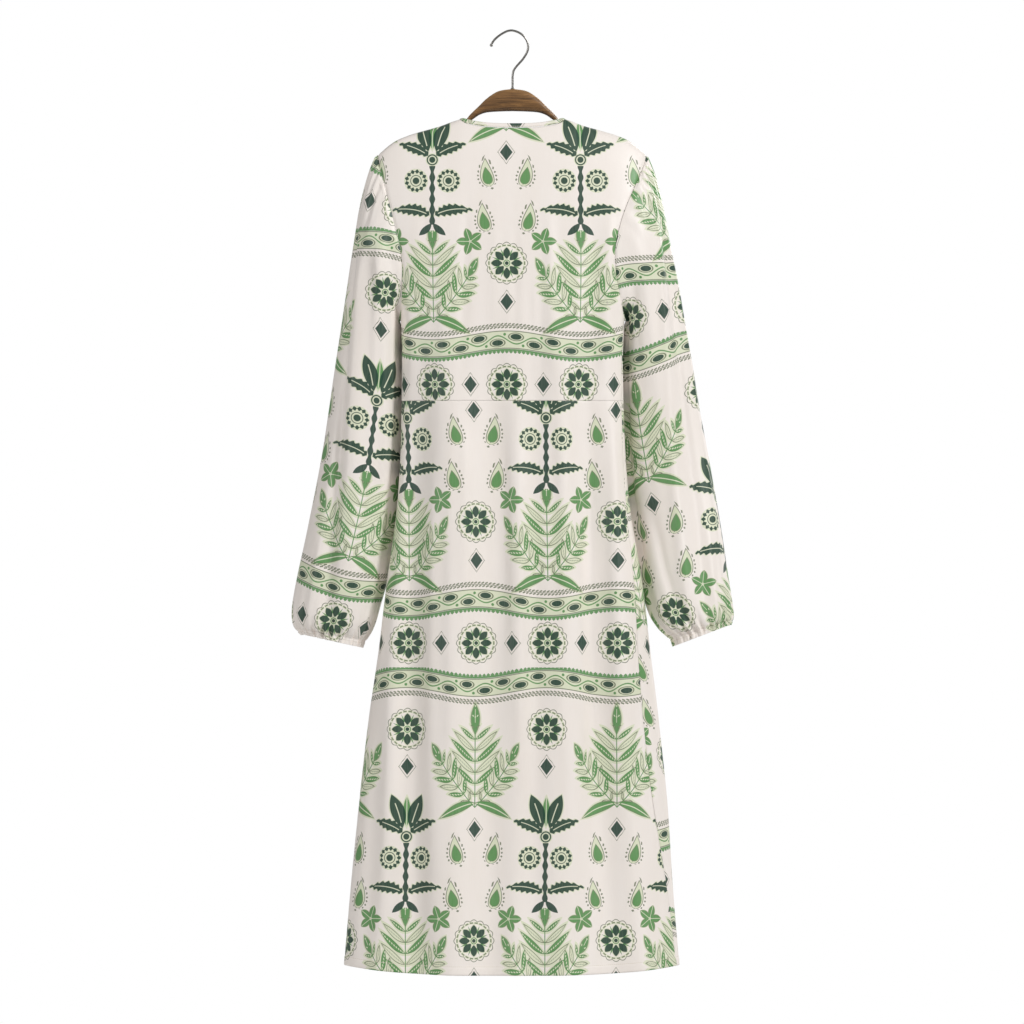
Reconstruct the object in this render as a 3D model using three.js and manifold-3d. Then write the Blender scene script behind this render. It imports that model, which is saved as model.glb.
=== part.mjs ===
// A long-sleeved midi shirt dress on a wooden hanger: cloth panels as thin closed walls, a rounded wooden
// hanger with a wire hook, and the buttons of the front. Millimetres, +Z up. The origin is the underside of
// the hook's crown, where a rail carries it. The back of the dress faces -Y and its front faces +Y.
import * as THREE from 'three';
import Module from 'manifold-3d';
import { mergeVertices } from 'three/addons/utils/BufferGeometryUtils.js';

// Cloth and seams
const WALL = 1.6;
const SEAM_GAP = 0.4;
const LAP_GAP = 0.8;
const ARMHOLE_GAP = 0.9;

// Heights of the dress below the rail
const NECK_HEIGHT = -119;
const SHOULDER_TIP_HEIGHT = -170;
const UNDERARM_HEIGHT = -400;
const WAIST_HEIGHT = -509;
const HEM_HEIGHT = -1298;
const HEM_CORNER_RISE = 13;
const FRONT_HEM_RISE = 7;

// Neck and front opening
const NECK_HALF_WIDTH = 67;
const BACK_NECK_DROP = 7.5;
const FRONT_NECK_DROP = 190;
const FRONT_NECK_CURVE = 1.15;
const OVERLAP = 14;
const LAP_BLEND = 26;
const BAND_WIDTH = 6;

// How the cloth rounds over the hanger's arm, and how the armhole is scooped
const RIDGE_RADIUS = 8;
const SHOULDER_FALL = 55;
const ARMHOLE_SCOOP = 26;
const ARMHOLE_FULLNESS = 0.7;
const LEFT_SEAM_WRAP = 4;

// Buttons
const BUTTON_COUNT = 10;
const BUTTON_TOP = -326;
const BUTTON_PITCH = 84;
const BUTTON_RADIUS = 5.5;
const BUTTON_THICKNESS = 2.4;

// Hanger
const ARM_REACH = 158;
const ARM_CLEARANCE = 0.9;
const WOOD_TOP = -79;
const WIRE_RADIUS = 1.5;
const TIP_RADIUS = 2.3;

const CREAM = 0xe9e1d6;
const cloth = () => new THREE.MeshStandardMaterial({ color: CREAM, roughness: 0.5, metalness: 0 });
const wood = new THREE.MeshStandardMaterial({ color: 0x6b4a33, roughness: 0.45, metalness: 0 });
const steel = new THREE.MeshStandardMaterial({ color: 0xb9b7b2, roughness: 0.25, metalness: 1 });
const shell = new THREE.MeshStandardMaterial({ color: 0xe6e0d2, roughness: 0.3, metalness: 0 });

// Level sections of the body: the two outlines, the right side seam, the depth behind and ahead of the
// side line, how far the side line lies off the middle, and how square the section is.
const bodySections = [
  { z: -119, left: -186, right: 184, seam: 184, back: 44, front: 40, line: 0, square: 5 },
  { z: -200, left: -185, right: 184, seam: 184, back: 44, front: 40, line: 0, square: 4.6 },
  { z: -265, left: -180, right: 179, seam: 179, back: 47, front: 44, line: -2, square: 3.8 },
  { z: -322, left: -166, right: 166, seam: 166, back: 49, front: 48, line: -4, square: 3.2 },
  { z: -400, left: -154, right: 154, seam: 153.9, back: 50, front: 51, line: -7, square: 2.8 },
  { z: -509, left: -153, right: 153, seam: 150.5, back: 48, front: 51, line: -9, square: 2.6 },
  { z: -640, left: -158, right: 160, seam: 156, back: 51, front: 54, line: -9, square: 2.6 },
  { z: -766, left: -174, right: 180, seam: 168, back: 55, front: 57, line: -8, square: 2.5 },
  { z: -857, left: -185, right: 190, seam: 173, back: 58, front: 60, line: -6, square: 2.5 },
  { z: -946, left: -198, right: 201, seam: 180, back: 60, front: 62, line: -4, square: 2.4 },
  { z: -1058, left: -211, right: 213, seam: 193, back: 63, front: 65, line: -2, square: 2.4 },
  { z: -1181, left: -223, right: 221, seam: 213, back: 66, front: 68, line: 0, square: 2.4 },
  { z: -1300, left: -233, right: 231, seam: 228, back: 69, front: 71, line: 0, square: 2.4 },
];

// Height of the shoulder ridge by distance from the middle.
const shoulderLine = [
  { x: 0, z: -119 },
  { x: 66, z: -119 },
  { x: 100, z: -130 },
  { x: 130, z: -138.5 },
  { x: 156, z: -147.5 },
  { x: 172, z: -157.5 },
  { x: 186, z: -170 },
];

// Soft vertical folds: x at the top and at the hem, half width, depth (+ outwards), and the heights between
// which each grows to its full depth. face is -1 on the back and 1 on the front.
const folds = [
  { face: -1, top: -84, hem: -82, spread: 15, depth: 6, from: -480, to: -700 },
  { face: -1, top: -112, hem: -124, spread: 17, depth: -8, from: -540, to: -860 },
  { face: -1, top: -46, hem: -38, spread: 16, depth: -4, from: -460, to: -720 },
  { face: -1, top: -8, hem: 6, spread: 14, depth: 5, from: -480, to: -820 },
  { face: -1, top: 34, hem: 50, spread: 16, depth: -5, from: -460, to: -760 },
  { face: -1, top: 76, hem: 92, spread: 17, depth: 6, from: -420, to: -800 },
  { face: -1, top: 116, hem: 138, spread: 17, depth: -8, from: -520, to: -900 },
  { face: -1, top: -150, hem: -178, spread: 18, depth: 5, from: -640, to: -980 },
  { face: 1, top: -118, hem: -150, spread: 20, depth: 7, from: -520, to: -860 },
  { face: 1, top: -84, hem: -104, spread: 17, depth: -7, from: -500, to: -780 },
  { face: 1, top: 58, hem: 66, spread: 16, depth: -6, from: -520, to: -880 },
  { face: 1, top: 92, hem: 112, spread: 18, depth: 7, from: -500, to: -800 },
  { face: 1, top: 126, hem: 158, spread: 18, depth: -6, from: -560, to: -900 },
];

// Each sleeve from the shoulder down: its outer and inner edge, its depth, how far forward it hangs, and how
// much of the armhole's own shape each ring has left behind.
const leftSleeve = [
  { outX: -196, outZ: -184, inX: -155.8, inZ: -396, depth: 40, line: 2, eased: 0.3 },
  { outX: -205, outZ: -212, inX: -156.6, inZ: -400, depth: 42, line: 5, eased: 0.7 },
  { outX: -213, outZ: -252, inX: -154.4, inZ: -412, depth: 42, line: 10, eased: 1 },
  { outX: -222, outZ: -310, inX: -153.5, inZ: -438, depth: 41, line: 14, eased: 1 },
  { outX: -231, outZ: -372, inX: -151.5, inZ: -472, depth: 40, line: 17, eased: 1 },
  { outX: -242, outZ: -445, inX: -150.5, inZ: -515, depth: 38, line: 18, eased: 1 },
  { outX: -254, outZ: -525, inX: -151, inZ: -575, depth: 36, line: 18, eased: 1 },
  { outX: -266, outZ: -602, inX: -155, inZ: -635, depth: 35, line: 18, eased: 1 },
  { outX: -282, outZ: -680, inX: -163, inZ: -695, depth: 36, line: 16, eased: 1 },
  { outX: -295, outZ: -742, inX: -172, inZ: -752, depth: 38, line: 14, eased: 1 },
  { outX: -303, outZ: -790, inX: -184, inZ: -799, depth: 37, line: 12, eased: 1 },
  { outX: -301, outZ: -814, inX: -194, inZ: -823, depth: 31, line: 11, eased: 1 },
  { outX: -293, outZ: -823, inX: -205, inZ: -838, depth: 23, line: 10, eased: 1 },
  { outX: -295, outZ: -831, inX: -203, inZ: -849, depth: 26, line: 10, eased: 1 },
];
const rightSleeve = [
  { outX: 192, outZ: -184, inX: 155.8, inZ: -396, depth: 40, line: 2, eased: 0.3 },
  { outX: 202, outZ: -212, inX: 156.8, inZ: -400, depth: 42, line: 5, eased: 0.7 },
  { outX: 211, outZ: -256, inX: 154.8, inZ: -412, depth: 42, line: 10, eased: 1 },
  { outX: 221, outZ: -312, inX: 154.5, inZ: -438, depth: 41, line: 14, eased: 1 },
  { outX: 233, outZ: -376, inX: 152.5, inZ: -472, depth: 40, line: 17, eased: 1 },
  { outX: 246, outZ: -447, inX: 152, inZ: -515, depth: 38, line: 18, eased: 1 },
  { outX: 259, outZ: -525, inX: 153.5, inZ: -575, depth: 36, line: 18, eased: 1 },
  { outX: 273, outZ: -602, inX: 158, inZ: -635, depth: 35, line: 18, eased: 1 },
  { outX: 287, outZ: -680, inX: 168, inZ: -695, depth: 36, line: 16, eased: 1 },
  { outX: 296, outZ: -742, inX: 175, inZ: -752, depth: 38, line: 14, eased: 1 },
  { outX: 302, outZ: -782, inX: 186, inZ: -797, depth: 37, line: 12, eased: 1 },
  { outX: 303, outZ: -801, inX: 200, inZ: -820, depth: 31, line: 11, eased: 1 },
  { outX: 298, outZ: -810, inX: 219, inZ: -835, depth: 23, line: 10, eased: 1 },
  { outX: 302, outZ: -818, inX: 226, inZ: -847, depth: 26, line: 10, eased: 1 },
];

// Long folds down the sleeves, by turn round the sleeve from its outer edge (degrees, + over the back),
// half width, depth (+ outwards), and the share of the sleeve over which each lies.
const sleeveFolds = [
  { turn: 62, spread: 20, depth: -5, from: 0.12, to: 0.95 },
  { turn: 104, spread: 22, depth: 3, from: 0.2, to: 0.9 },
  { turn: -70, spread: 22, depth: -5, from: 0.15, to: 0.9 },
  { turn: -118, spread: 20, depth: 3, from: 0.3, to: 0.95 },
];

// Shares of the way down a bodice panel's edge; the tenth is the underarm.
const underarmShare = (SHOULDER_TIP_HEIGHT - UNDERARM_HEIGHT) / (SHOULDER_TIP_HEIGHT - WAIST_HEIGHT);
const bodiceRows = [0, 0.006, 0.022, 0.06, 0.13, 0.23, 0.35, 0.47, 0.585, underarmShare, 0.79, 0.9, 1];
const underarmRow = bodiceRows.indexOf(underarmShare);
const skirtRows = [0, 0.05, 0.12, 0.2, 0.3, 0.4, 0.5, 0.6, 0.7, 0.8, 0.9, 0.965, 1];

const rad = THREE.MathUtils.degToRad;
const lerp = THREE.MathUtils.lerp;
const steps = (count) => Array.from({ length: count + 1 }, (_, i) => i / count);

// Smooth value of one named column between the rows of a table ordered by its key.
function columnAt(table, key, name, at) {
  const falling = table[0][key] > table[table.length - 1][key];
  const place = (row) => (falling ? -row[key] : row[key]);
  const goal = falling ? -at : at;
  let i = 0;
  while (i < table.length - 2 && place(table[i + 1]) < goal) i += 1;
  const slope = (j) => {
    const a = table[Math.max(j - 1, 0)];
    const b = table[Math.min(j + 1, table.length - 1)];
    return (b[name] - a[name]) / (place(b) - place(a));
  };
  const span = place(table[i + 1]) - place(table[i]);
  const t = THREE.MathUtils.clamp((goal - place(table[i])) / span, 0, 1);
  const t2 = t * t;
  const t3 = t2 * t;
  return (2 * t3 - 3 * t2 + 1) * table[i][name] + (t3 - 2 * t2 + t) * span * slope(i)
    + (3 * t2 - 2 * t3) * table[i + 1][name] + (t3 - t2) * span * slope(i + 1);
}

const sectionAt = (name, z) => columnAt(bodySections, 'z', name, z);
const ridgeHeight = (x) => columnAt(shoulderLine, 'x', 'z', Math.abs(x));

// Depth reached at a given fall below the shoulder ridge: round over the hanger, then out to the full depth.
function depthBelowRidge(depth, fall) {
  const d = Math.max(fall, 0);
  const round = Math.sqrt(1 - (1 - Math.min(d / RIDGE_RADIUS, 1)) ** 2);
  return RIDGE_RADIUS * round + (depth - RIDGE_RADIUS) * (1 - Math.exp(-d / SHOULDER_FALL));
}

function foldDepth(face, x, z) {
  let total = 0;
  for (const fold of folds) {
    if (fold.face !== face) continue;
    const grown = THREE.MathUtils.smoothstep(-z, -fold.from, -fold.to);
    const down = THREE.MathUtils.clamp((WAIST_HEIGHT - z) / (WAIST_HEIGHT - HEM_HEIGHT), 0, 1);
    const off = (x - lerp(fold.top, fold.hem, down)) / fold.spread;
    total += fold.depth * grown * Math.exp(-off * off);
  }
  return total;
}

// A point of the body's outer face. The angle runs from the left side (-90) by the middle back (0) and the
// right side (90) to the middle front (180).
function bodyPoint(angle, z) {
  const left = sectionAt('left', z);
  const right = sectionAt('right', z);
  const across = Math.sin(rad(angle));
  const face = Math.cos(rad(angle)) >= 0 ? -1 : 1;
  const x = (left + right) / 2 + across * (right - left) / 2;
  const full = sectionAt(face < 0 ? 'back' : 'front', z);
  const square = sectionAt('square', z);
  const bulge = (1 - Math.min(Math.abs(across), 1) ** square) ** (1 / square);
  const depth = depthBelowRidge(full, ridgeHeight(x) - z);
  const y = sectionAt('line', z) + face * bulge * (depth + foldDepth(face, x, z) * bulge);
  return new THREE.Vector3(x, y, z);
}

// The outward direction of the body's face. On the shoulder ridge it lies in the ridge's own upright plane.
function bodyNormal(angle, z) {
  const here = bodyPoint(angle, z);
  if (ridgeHeight(here.x) - z < 0.6) {
    const rise = ridgeHeight(here.x + 1) - ridgeHeight(here.x - 1);
    return new THREE.Vector3(-rise, 0, 2).normalize();
  }
  const around = bodyPoint(angle + 0.4, z).sub(bodyPoint(angle - 0.4, z));
  const down = bodyPoint(angle, z - 0.5).sub(bodyPoint(angle, z + 0.5));
  return down.cross(around).normalize();
}

// Angle of an armhole or side seam at a height. side is -1 on the left and 1 on the right; face as above.
function seamAngle(side, face, z) {
  if (z > UNDERARM_HEIGHT) {
    const down = (SHOULDER_TIP_HEIGHT - z) / (SHOULDER_TIP_HEIGHT - UNDERARM_HEIGHT);
    const scoop = ARMHOLE_SCOOP * Math.sin(Math.PI * THREE.MathUtils.clamp(down, 0, 1)) ** ARMHOLE_FULLNESS;
    return side * (90 + face * scoop);
  }
  if (side < 0) return -90 - LEFT_SEAM_WRAP * THREE.MathUtils.smoothstep(-z, -UNDERARM_HEIGHT, 520);
  const middle = (sectionAt('left', z) + sectionAt('right', z)) / 2;
  const across = (sectionAt('seam', z) - middle) / (sectionAt('right', z) - middle);
  return THREE.MathUtils.radToDeg(Math.asin(Math.min(across, 1)));
}

// A closed wall between an outer grid of points and the same grid moved in by its directions. Rows run
// down, columns run round; a ring closes on itself.
function wallSolid(outer, inner, ring) {
  const rows = outer.length;
  const columns = outer[0].length;
  const points = [...outer.flat(), ...inner.flat()].flatMap((p) => [p.x, p.y, p.z]);
  const at = (layer, r, c) => layer * rows * columns + r * columns + (c % columns);
  const triangles = [];
  const quad = (a, b, c, d) => triangles.push(a, b, c, a, c, d);
  const last = ring ? columns : columns - 1;
  for (let r = 0; r < rows - 1; r += 1) {
    for (let c = 0; c < last; c += 1) {
      quad(at(0, r, c), at(0, r + 1, c), at(0, r + 1, c + 1), at(0, r, c + 1));
      quad(at(1, r, c), at(1, r, c + 1), at(1, r + 1, c + 1), at(1, r + 1, c));
    }
  }
  for (let c = 0; c < last; c += 1) {
    quad(at(0, 0, c), at(0, 0, c + 1), at(1, 0, c + 1), at(1, 0, c));
    quad(at(0, rows - 1, c), at(1, rows - 1, c), at(1, rows - 1, c + 1), at(0, rows - 1, c + 1));
  }
  for (let r = 0; r < rows - 1 && !ring; r += 1) {
    quad(at(0, r, 0), at(1, r, 0), at(1, r + 1, 0), at(0, r + 1, 0));
    quad(at(0, r, columns - 1), at(0, r + 1, columns - 1), at(1, r + 1, columns - 1), at(1, r, columns - 1));
  }
  const geometry = new THREE.BufferGeometry();
  geometry.setAttribute('position', new THREE.Float32BufferAttribute(points, 3));
  geometry.setIndex(triangles);
  return mergeVertices(geometry, 1e-4);
}

function addMesh(group, name, geometry, material) {
  const mesh = new THREE.Mesh(geometry, material);
  mesh.name = name;
  group.add(mesh);
}

// The angle on one face at a given x. On the front it counts round from the given side.
function angleAtX(face, x, z, side = 1) {
  const left = sectionAt('left', z);
  const right = sectionAt('right', z);
  const across = (2 * x - left - right) / (right - left);
  const angle = THREE.MathUtils.radToDeg(Math.asin(THREE.MathUtils.clamp(across, -1, 1)));
  return face < 0 ? angle : side * 180 - angle;
}

// A panel's wall from a grid of { angle, z, lift } places: each is lifted off the body's face, or sunk into
// it, by its lift. Back pieces stand half a seam gap to the back and front pieces half a gap to the front.
function panelSolid(places, face) {
  const shift = new THREE.Vector3(0, face * SEAM_GAP / 2, 0);
  const directions = places.map((row) => row.map((p) => bodyNormal(p.angle, p.z)));
  const outer = places.map((row, r) => row.map((p, c) => (
    bodyPoint(p.angle, p.z).addScaledVector(directions[r][c], p.lift || 0).add(shift))));
  const inner = outer.map((row, r) => row.map((point, c) => (
    point.clone().addScaledVector(directions[r][c], -WALL))));
  return wallSolid(outer, inner, false);
}

// The neck edge on one face, from the neck corner (0) to the middle back or the front edge (1). x counts
// from the middle towards the piece's own side.
function neckEdge(face, v) {
  if (face < 0) {
    const x = NECK_HALF_WIDTH * (1 - v);
    return { x, z: NECK_HEIGHT - BACK_NECK_DROP * (1 - (1 - v) ** 3) };
  }
  const drop = 1 - (1 - v) ** FRONT_NECK_CURVE;
  return { x: lerp(NECK_HALF_WIDTH, -OVERLAP, v), z: NECK_HEIGHT - FRONT_NECK_DROP * drop };
}

// The same edge moved out by a width, so that it leaves the corner along the shoulder ridge.
function neckOffset(face, v, width) {
  const here = neckEdge(face, v);
  const before = neckEdge(face, Math.max(v - 0.01, 0));
  const after = neckEdge(face, Math.min(v + 0.01, 1));
  const square = new THREE.Vector2(before.z - after.z, after.x - before.x).normalize();
  const ridge = new THREE.Vector2(1, ridgeHeight(NECK_HALF_WIDTH + 5) - ridgeHeight(NECK_HALF_WIDTH + 4));
  const away = ridge.normalize().lerp(square, THREE.MathUtils.smoothstep(v, 0, 0.12)).normalize();
  if (face > 0) away.lerp(new THREE.Vector2(0, -1 / square.x), THREE.MathUtils.smoothstep(v, 0.7, 1));
  const x = here.x + away.x * width;
  const z = v === 0 ? ridgeHeight(x) : here.z + away.y * width;
  return { x, z };
}

const backNeckSteps = [0, 0.03, 0.08, 0.18, 0.34, 0.55, 0.78, 1];
const frontNeckSteps = [0, 0.012, 0.035, 0.09, 0.18, 0.32, 0.5, 0.66, 0.82, 1];
const shoulderSteps = [0, 0.05, 0.12, 0.22, 0.36, 0.52, 0.68, 0.84, 1];

// Top places of half a bodice panel, from the shoulder tip to the middle back or the front edge.
function bodiceTop(side, face) {
  const offset = BAND_WIDTH + SEAM_GAP / 2;
  const corner = neckOffset(face, 0, offset);
  const cornerAngle = angleAtX(face, side * corner.x, corner.z, side);
  const shoulder = shoulderSteps.slice(0, -1).map((t) => {
    const angle = lerp(side * 90, cornerAngle, t);
    let z = SHOULDER_TIP_HEIGHT;
    for (let i = 0; i < 6 && t > 0; i += 1) z = ridgeHeight(bodyPoint(angle, z).x);
    return { angle, z, x: bodyPoint(angle, z).x };
  });
  const neckSteps = face < 0 ? backNeckSteps : frontNeckSteps;
  const neck = neckSteps.map((v) => {
    const edge = neckOffset(face, v, offset);
    return { angle: angleAtX(face, side * edge.x, edge.z, side), z: edge.z, x: side * edge.x };
  });
  return [...shoulder, ...neck];
}

// How far the under front is sunk beneath the over front near the middle.
function underLap(side, x) {
  if (side > 0) return 0;
  return -(WALL + LAP_GAP) * (1 - THREE.MathUtils.smoothstep(-x, OVERLAP + 4, OVERLAP + 4 + LAP_BLEND));
}

// Columns of a bodice panel hang straight down under the neck and spread to the armhole near the side.
function bodiceAngle(place, face, side, z, spread) {
  const middle = face < 0 ? 0 : side * 180;
  const inward = 1 - Math.abs(place.angle - middle) / 90;
  const straight = angleAtX(face, place.x, z, side);
  return lerp(spread, straight, THREE.MathUtils.smoothstep(inward, 0.25, 0.7));
}

function bodiceFront(side) {
  const top = bodiceTop(side, 1);
  const end = top[top.length - 1];
  const bottom = WAIST_HEIGHT + SEAM_GAP / 2;
  const places = bodiceRows.map((share) => {
    const sideHeight = lerp(SHOULDER_TIP_HEIGHT, bottom, share);
    const edgeHeight = lerp(end.z, bottom, share);
    const first = seamAngle(side, 1, sideHeight);
    const last = angleAtX(1, -side * OVERLAP, edgeHeight, side);
    return top.map((place) => {
      const across = (place.angle - top[0].angle) / (end.angle - top[0].angle);
      const z = lerp(place.z, bottom, share);
      const angle = bodiceAngle(place, 1, side, z, lerp(first, last, across));
      return { angle, z, lift: underLap(side, bodyPoint(angle, z).x) };
    });
  });
  if (side < 0) places.forEach((row) => row.reverse());
  return panelSolid(places, 1);
}

function bodiceBack() {
  const left = bodiceTop(-1, -1);
  const right = bodiceTop(1, -1).reverse().slice(1);
  const top = [...left, ...right];
  const bottom = WAIST_HEIGHT + SEAM_GAP / 2;
  const places = bodiceRows.map((share) => {
    const sideHeight = lerp(SHOULDER_TIP_HEIGHT, bottom, share);
    const first = seamAngle(-1, -1, sideHeight);
    const last = seamAngle(1, -1, sideHeight);
    return top.map((place) => {
      const z = lerp(place.z, bottom, share);
      const spread = lerp(first, last, (place.angle + 90) / 180);
      return { angle: bodiceAngle(place, -1, 1, z, spread), z };
    });
  });
  return panelSolid(places, -1);
}

// The narrow band round the neck: one piece on the back, one on each front.
function neckBand(face, sides) {
  const steps = face < 0 ? backNeckSteps : frontNeckSteps.filter((v) => sides > 0 || v < 0.8);
  const half = (side) => steps.map((v) => [0, 0.5, 1].map((t) => {
    const edge = neckOffset(face, v, t * (BAND_WIDTH - SEAM_GAP / 2));
    const x = side * edge.x;
    const z = v === 0 ? ridgeHeight(edge.x) : edge.z;
    return { angle: angleAtX(face, x, z, side), z, lift: face > 0 ? underLap(side, x) : 0 };
  }));
  let columns = half(sides);
  if (face < 0) columns = [...half(-1), ...half(1).reverse().slice(1)];
  if (face > 0 && sides < 0) columns.reverse();
  const places = [0, 1, 2].map((row) => columns.map((column) => column[row]));
  return panelSolid(places, face);
}

// Height of the hem at a place round the body.
function hemHeight(angle) {
  const face = Math.cos(rad(angle)) >= 0 ? -1 : 1;
  const corner = Math.abs(Math.sin(rad(angle))) ** 3;
  return HEM_HEIGHT + (face > 0 ? FRONT_HEM_RISE * (1 - corner) : 0) + HEM_CORNER_RISE * corner;
}

// A skirt panel between two functions of height that give its edges' angles.
function skirtPanel(face, firstAngle, lastAngle, columns, side) {
  const top = WAIST_HEIGHT - SEAM_GAP / 2;
  const places = skirtRows.map((share) => steps(columns).map((across) => {
    let z = top;
    let angle = 0;
    for (let i = 0; i < 4; i += 1) {
      angle = lerp(firstAngle(z), lastAngle(z), across);
      z = lerp(top, hemHeight(angle), share);
    }
    const lift = side === undefined ? 0 : underLap(side, bodyPoint(angle, z).x);
    return { angle, z, lift };
  }));
  return panelSolid(places, face);
}

// Places round an armhole in the order tip, back edge, underarm, front edge, with the share of each ring.
function armholeRing(side) {
  const heights = bodiceRows.slice(0, underarmRow + 1).map((share) => (
    lerp(SHOULDER_TIP_HEIGHT, WAIST_HEIGHT, share)));
  const back = heights.map((z) => ({ face: -1, z }));
  const front = heights.slice(1, -1).reverse().map((z) => ({ face: 1, z }));
  const middle = (SHOULDER_TIP_HEIGHT + UNDERARM_HEIGHT) / 2;
  const reach = (SHOULDER_TIP_HEIGHT - UNDERARM_HEIGHT) / 2;
  const heart = new THREE.Vector3(bodyPoint(side * 90, middle).x, 0, middle);
  return [...back, ...front].map(({ face, z }, i) => {
    const onLine = i === 0 || i === underarmRow;
    const angle = onLine ? side * 90 : seamAngle(side, face, z);
    const direction = bodyNormal(angle, z);
    const inward = heart.clone().sub(bodyPoint(angle, z));
    inward.addScaledVector(direction, -inward.dot(direction)).normalize();
    const outer = bodyPoint(angle, z).addScaledVector(inward, ARMHOLE_GAP);
    outer.y += onLine ? 0 : face * SEAM_GAP / 2;
    const turn = Math.acos(THREE.MathUtils.clamp((z - middle) / reach, -1, 1));
    return { outer, direction, turn: face < 0 ? turn : -turn };
  });
}

function sleeveFoldDepth(turn, share) {
  return sleeveFolds.reduce((total, fold) => {
    const off = (THREE.MathUtils.radToDeg(turn) - fold.turn) / fold.spread;
    const span = THREE.MathUtils.clamp((share - fold.from) / (fold.to - fold.from), 0, 1);
    return total + fold.depth * Math.sin(Math.PI * span) ** 0.5 * Math.exp(-off * off);
  }, 0);
}

function sleeveSolid(side, table) {
  const armhole = armholeRing(side);
  const rings = table.map((row, r) => armhole.map(({ outer, turn }) => {
    const along = Math.cos(turn);
    const out = new THREE.Vector3(row.outX, row.line, row.outZ);
    const inside = new THREE.Vector3(row.inX, row.line, row.inZ);
    const point = inside.lerp(out, (1 + along) / 2);
    const fold = sleeveFoldDepth(turn, (r + 1) / table.length);
    point.y -= (row.depth + fold) * Math.sin(turn);
    return outer.clone().lerp(point, row.eased);
  }));
  const outer = [armhole.map((p) => p.outer), ...rings];
  const count = armhole.length;
  const inner = outer.map((ring, r) => ring.map((point, c) => {
    if (r === 0) return point.clone().addScaledVector(armhole[c].direction, -WALL);
    const below = outer[Math.min(r + 1, outer.length - 1)][c];
    const down = below.clone().sub(outer[r - 1][c]);
    const around = ring[(c + 1) % count].clone().sub(ring[(c + count - 1) % count]);
    const direction = down.cross(around).multiplyScalar(-side).normalize();
    return point.clone().addScaledVector(direction, -WALL);
  }));
  if (side > 0) {
    outer.forEach((ring) => ring.reverse());
    inner.forEach((ring) => ring.reverse());
  }
  return wallSolid(outer, inner, true);
}

// Buttons lie on the over front, in the middle.
function addButtons(group) {
  for (let i = 0; i < BUTTON_COUNT; i += 1) {
    const z = BUTTON_TOP - i * BUTTON_PITCH;
    const angle = angleAtX(1, 0, z);
    const direction = bodyNormal(angle, z);
    const seat = bodyPoint(angle, z).addScaledVector(direction, SEAM_GAP);
    const profile = [[0, 0], [0.85, 0], [1, 0.4], [0.85, 1], [0, 1]].map(([r, h]) => (
      new THREE.Vector2(r * BUTTON_RADIUS, h * BUTTON_THICKNESS)));
    const button = new THREE.Mesh(mergeVertices(new THREE.LatheGeometry(profile, 14)), shell);
    button.position.copy(seat.add(new THREE.Vector3(0, SEAM_GAP, 0)));
    button.quaternion.setFromUnitVectors(new THREE.Vector3(0, 1, 0), direction);
    button.name = `button_${String(i + 1).padStart(2, '0')}`;
    group.add(button);
  }
}

// Upright sections of the wooden hanger, by distance from the middle: its top and underside follow the
// shoulder ridge from inside once past the neck.
const woodSections = [
  { x: 0, top: WOOD_TOP, under: -109.8, half: 6.5 },
  { x: 20, top: -82.4, under: -110.4, half: 6.5 },
  { x: 36, top: -92.6, under: -111.8, half: 6.3 },
  { x: 46, top: -102.4, under: -115.2, half: 6 },
  { x: 54, top: -110, under: -120.6, half: 5.6 },
  { x: 60, top: -116.2, under: -125, half: 4.9 },
  { x: 64, top: -121.7, under: -128, half: 4.5 },
];
const woodReaches = [
  0, 10, 20, 28, 36, 41, 46, 50, 54, 57, 60, 64, 72, 82, 94, 106, 118, 130, 142, 152, ARM_REACH,
];

function woodSection(x) {
  const reach = Math.abs(x);
  const last = woodSections[woodSections.length - 1];
  if (reach <= last.x) {
    const value = (name) => columnAt(woodSections, 'x', name, reach);
    return { top: value('top'), under: value('under'), half: value('half') };
  }
  const out = (reach - last.x) / (ARM_REACH - last.x);
  const settle = THREE.MathUtils.smoothstep(reach, last.x, 84);
  const seated = ridgeHeight(reach) - WALL - ARM_CLEARANCE - 0.8 * out;
  const height = lerp(last.top - last.under, 19, settle) * (1 - 0.45 * out ** 3);
  return { top: seated, under: seated - height, half: lerp(last.half, 3.4, out ** 1.2) };
}

function woodSolid() {
  const sides = 12;
  const reaches = [...woodReaches.slice(1).map((x) => -x).reverse(), ...woodReaches];
  const points = [];
  for (const x of reaches) {
    const { top, under, half } = woodSection(x);
    for (let i = 0; i < sides; i += 1) {
      const turn = (2 * Math.PI * i) / sides;
      const y = half * Math.sign(Math.sin(turn)) * Math.abs(Math.sin(turn)) ** 0.8;
      const up = Math.sign(Math.cos(turn)) * Math.abs(Math.cos(turn)) ** 0.9;
      points.push(x, y, (top + under) / 2 + up * (top - under) / 2);
    }
  }
  const triangles = [];
  const last = reaches.length - 1;
  for (let r = 0; r < last; r += 1) {
    for (let i = 0; i < sides; i += 1) {
      const a = r * sides + i;
      const b = r * sides + ((i + 1) % sides);
      triangles.push(a, b, b + sides, a, b + sides, a + sides);
    }
  }
  for (let i = 1; i < sides - 1; i += 1) {
    triangles.push(0, i + 1, i, last * sides, last * sides + i, last * sides + i + 1);
  }
  const geometry = new THREE.BufferGeometry();
  geometry.setAttribute('position', new THREE.Float32BufferAttribute(points, 3));
  geometry.setIndex(triangles.reverse());
  return geometry;
}

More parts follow.
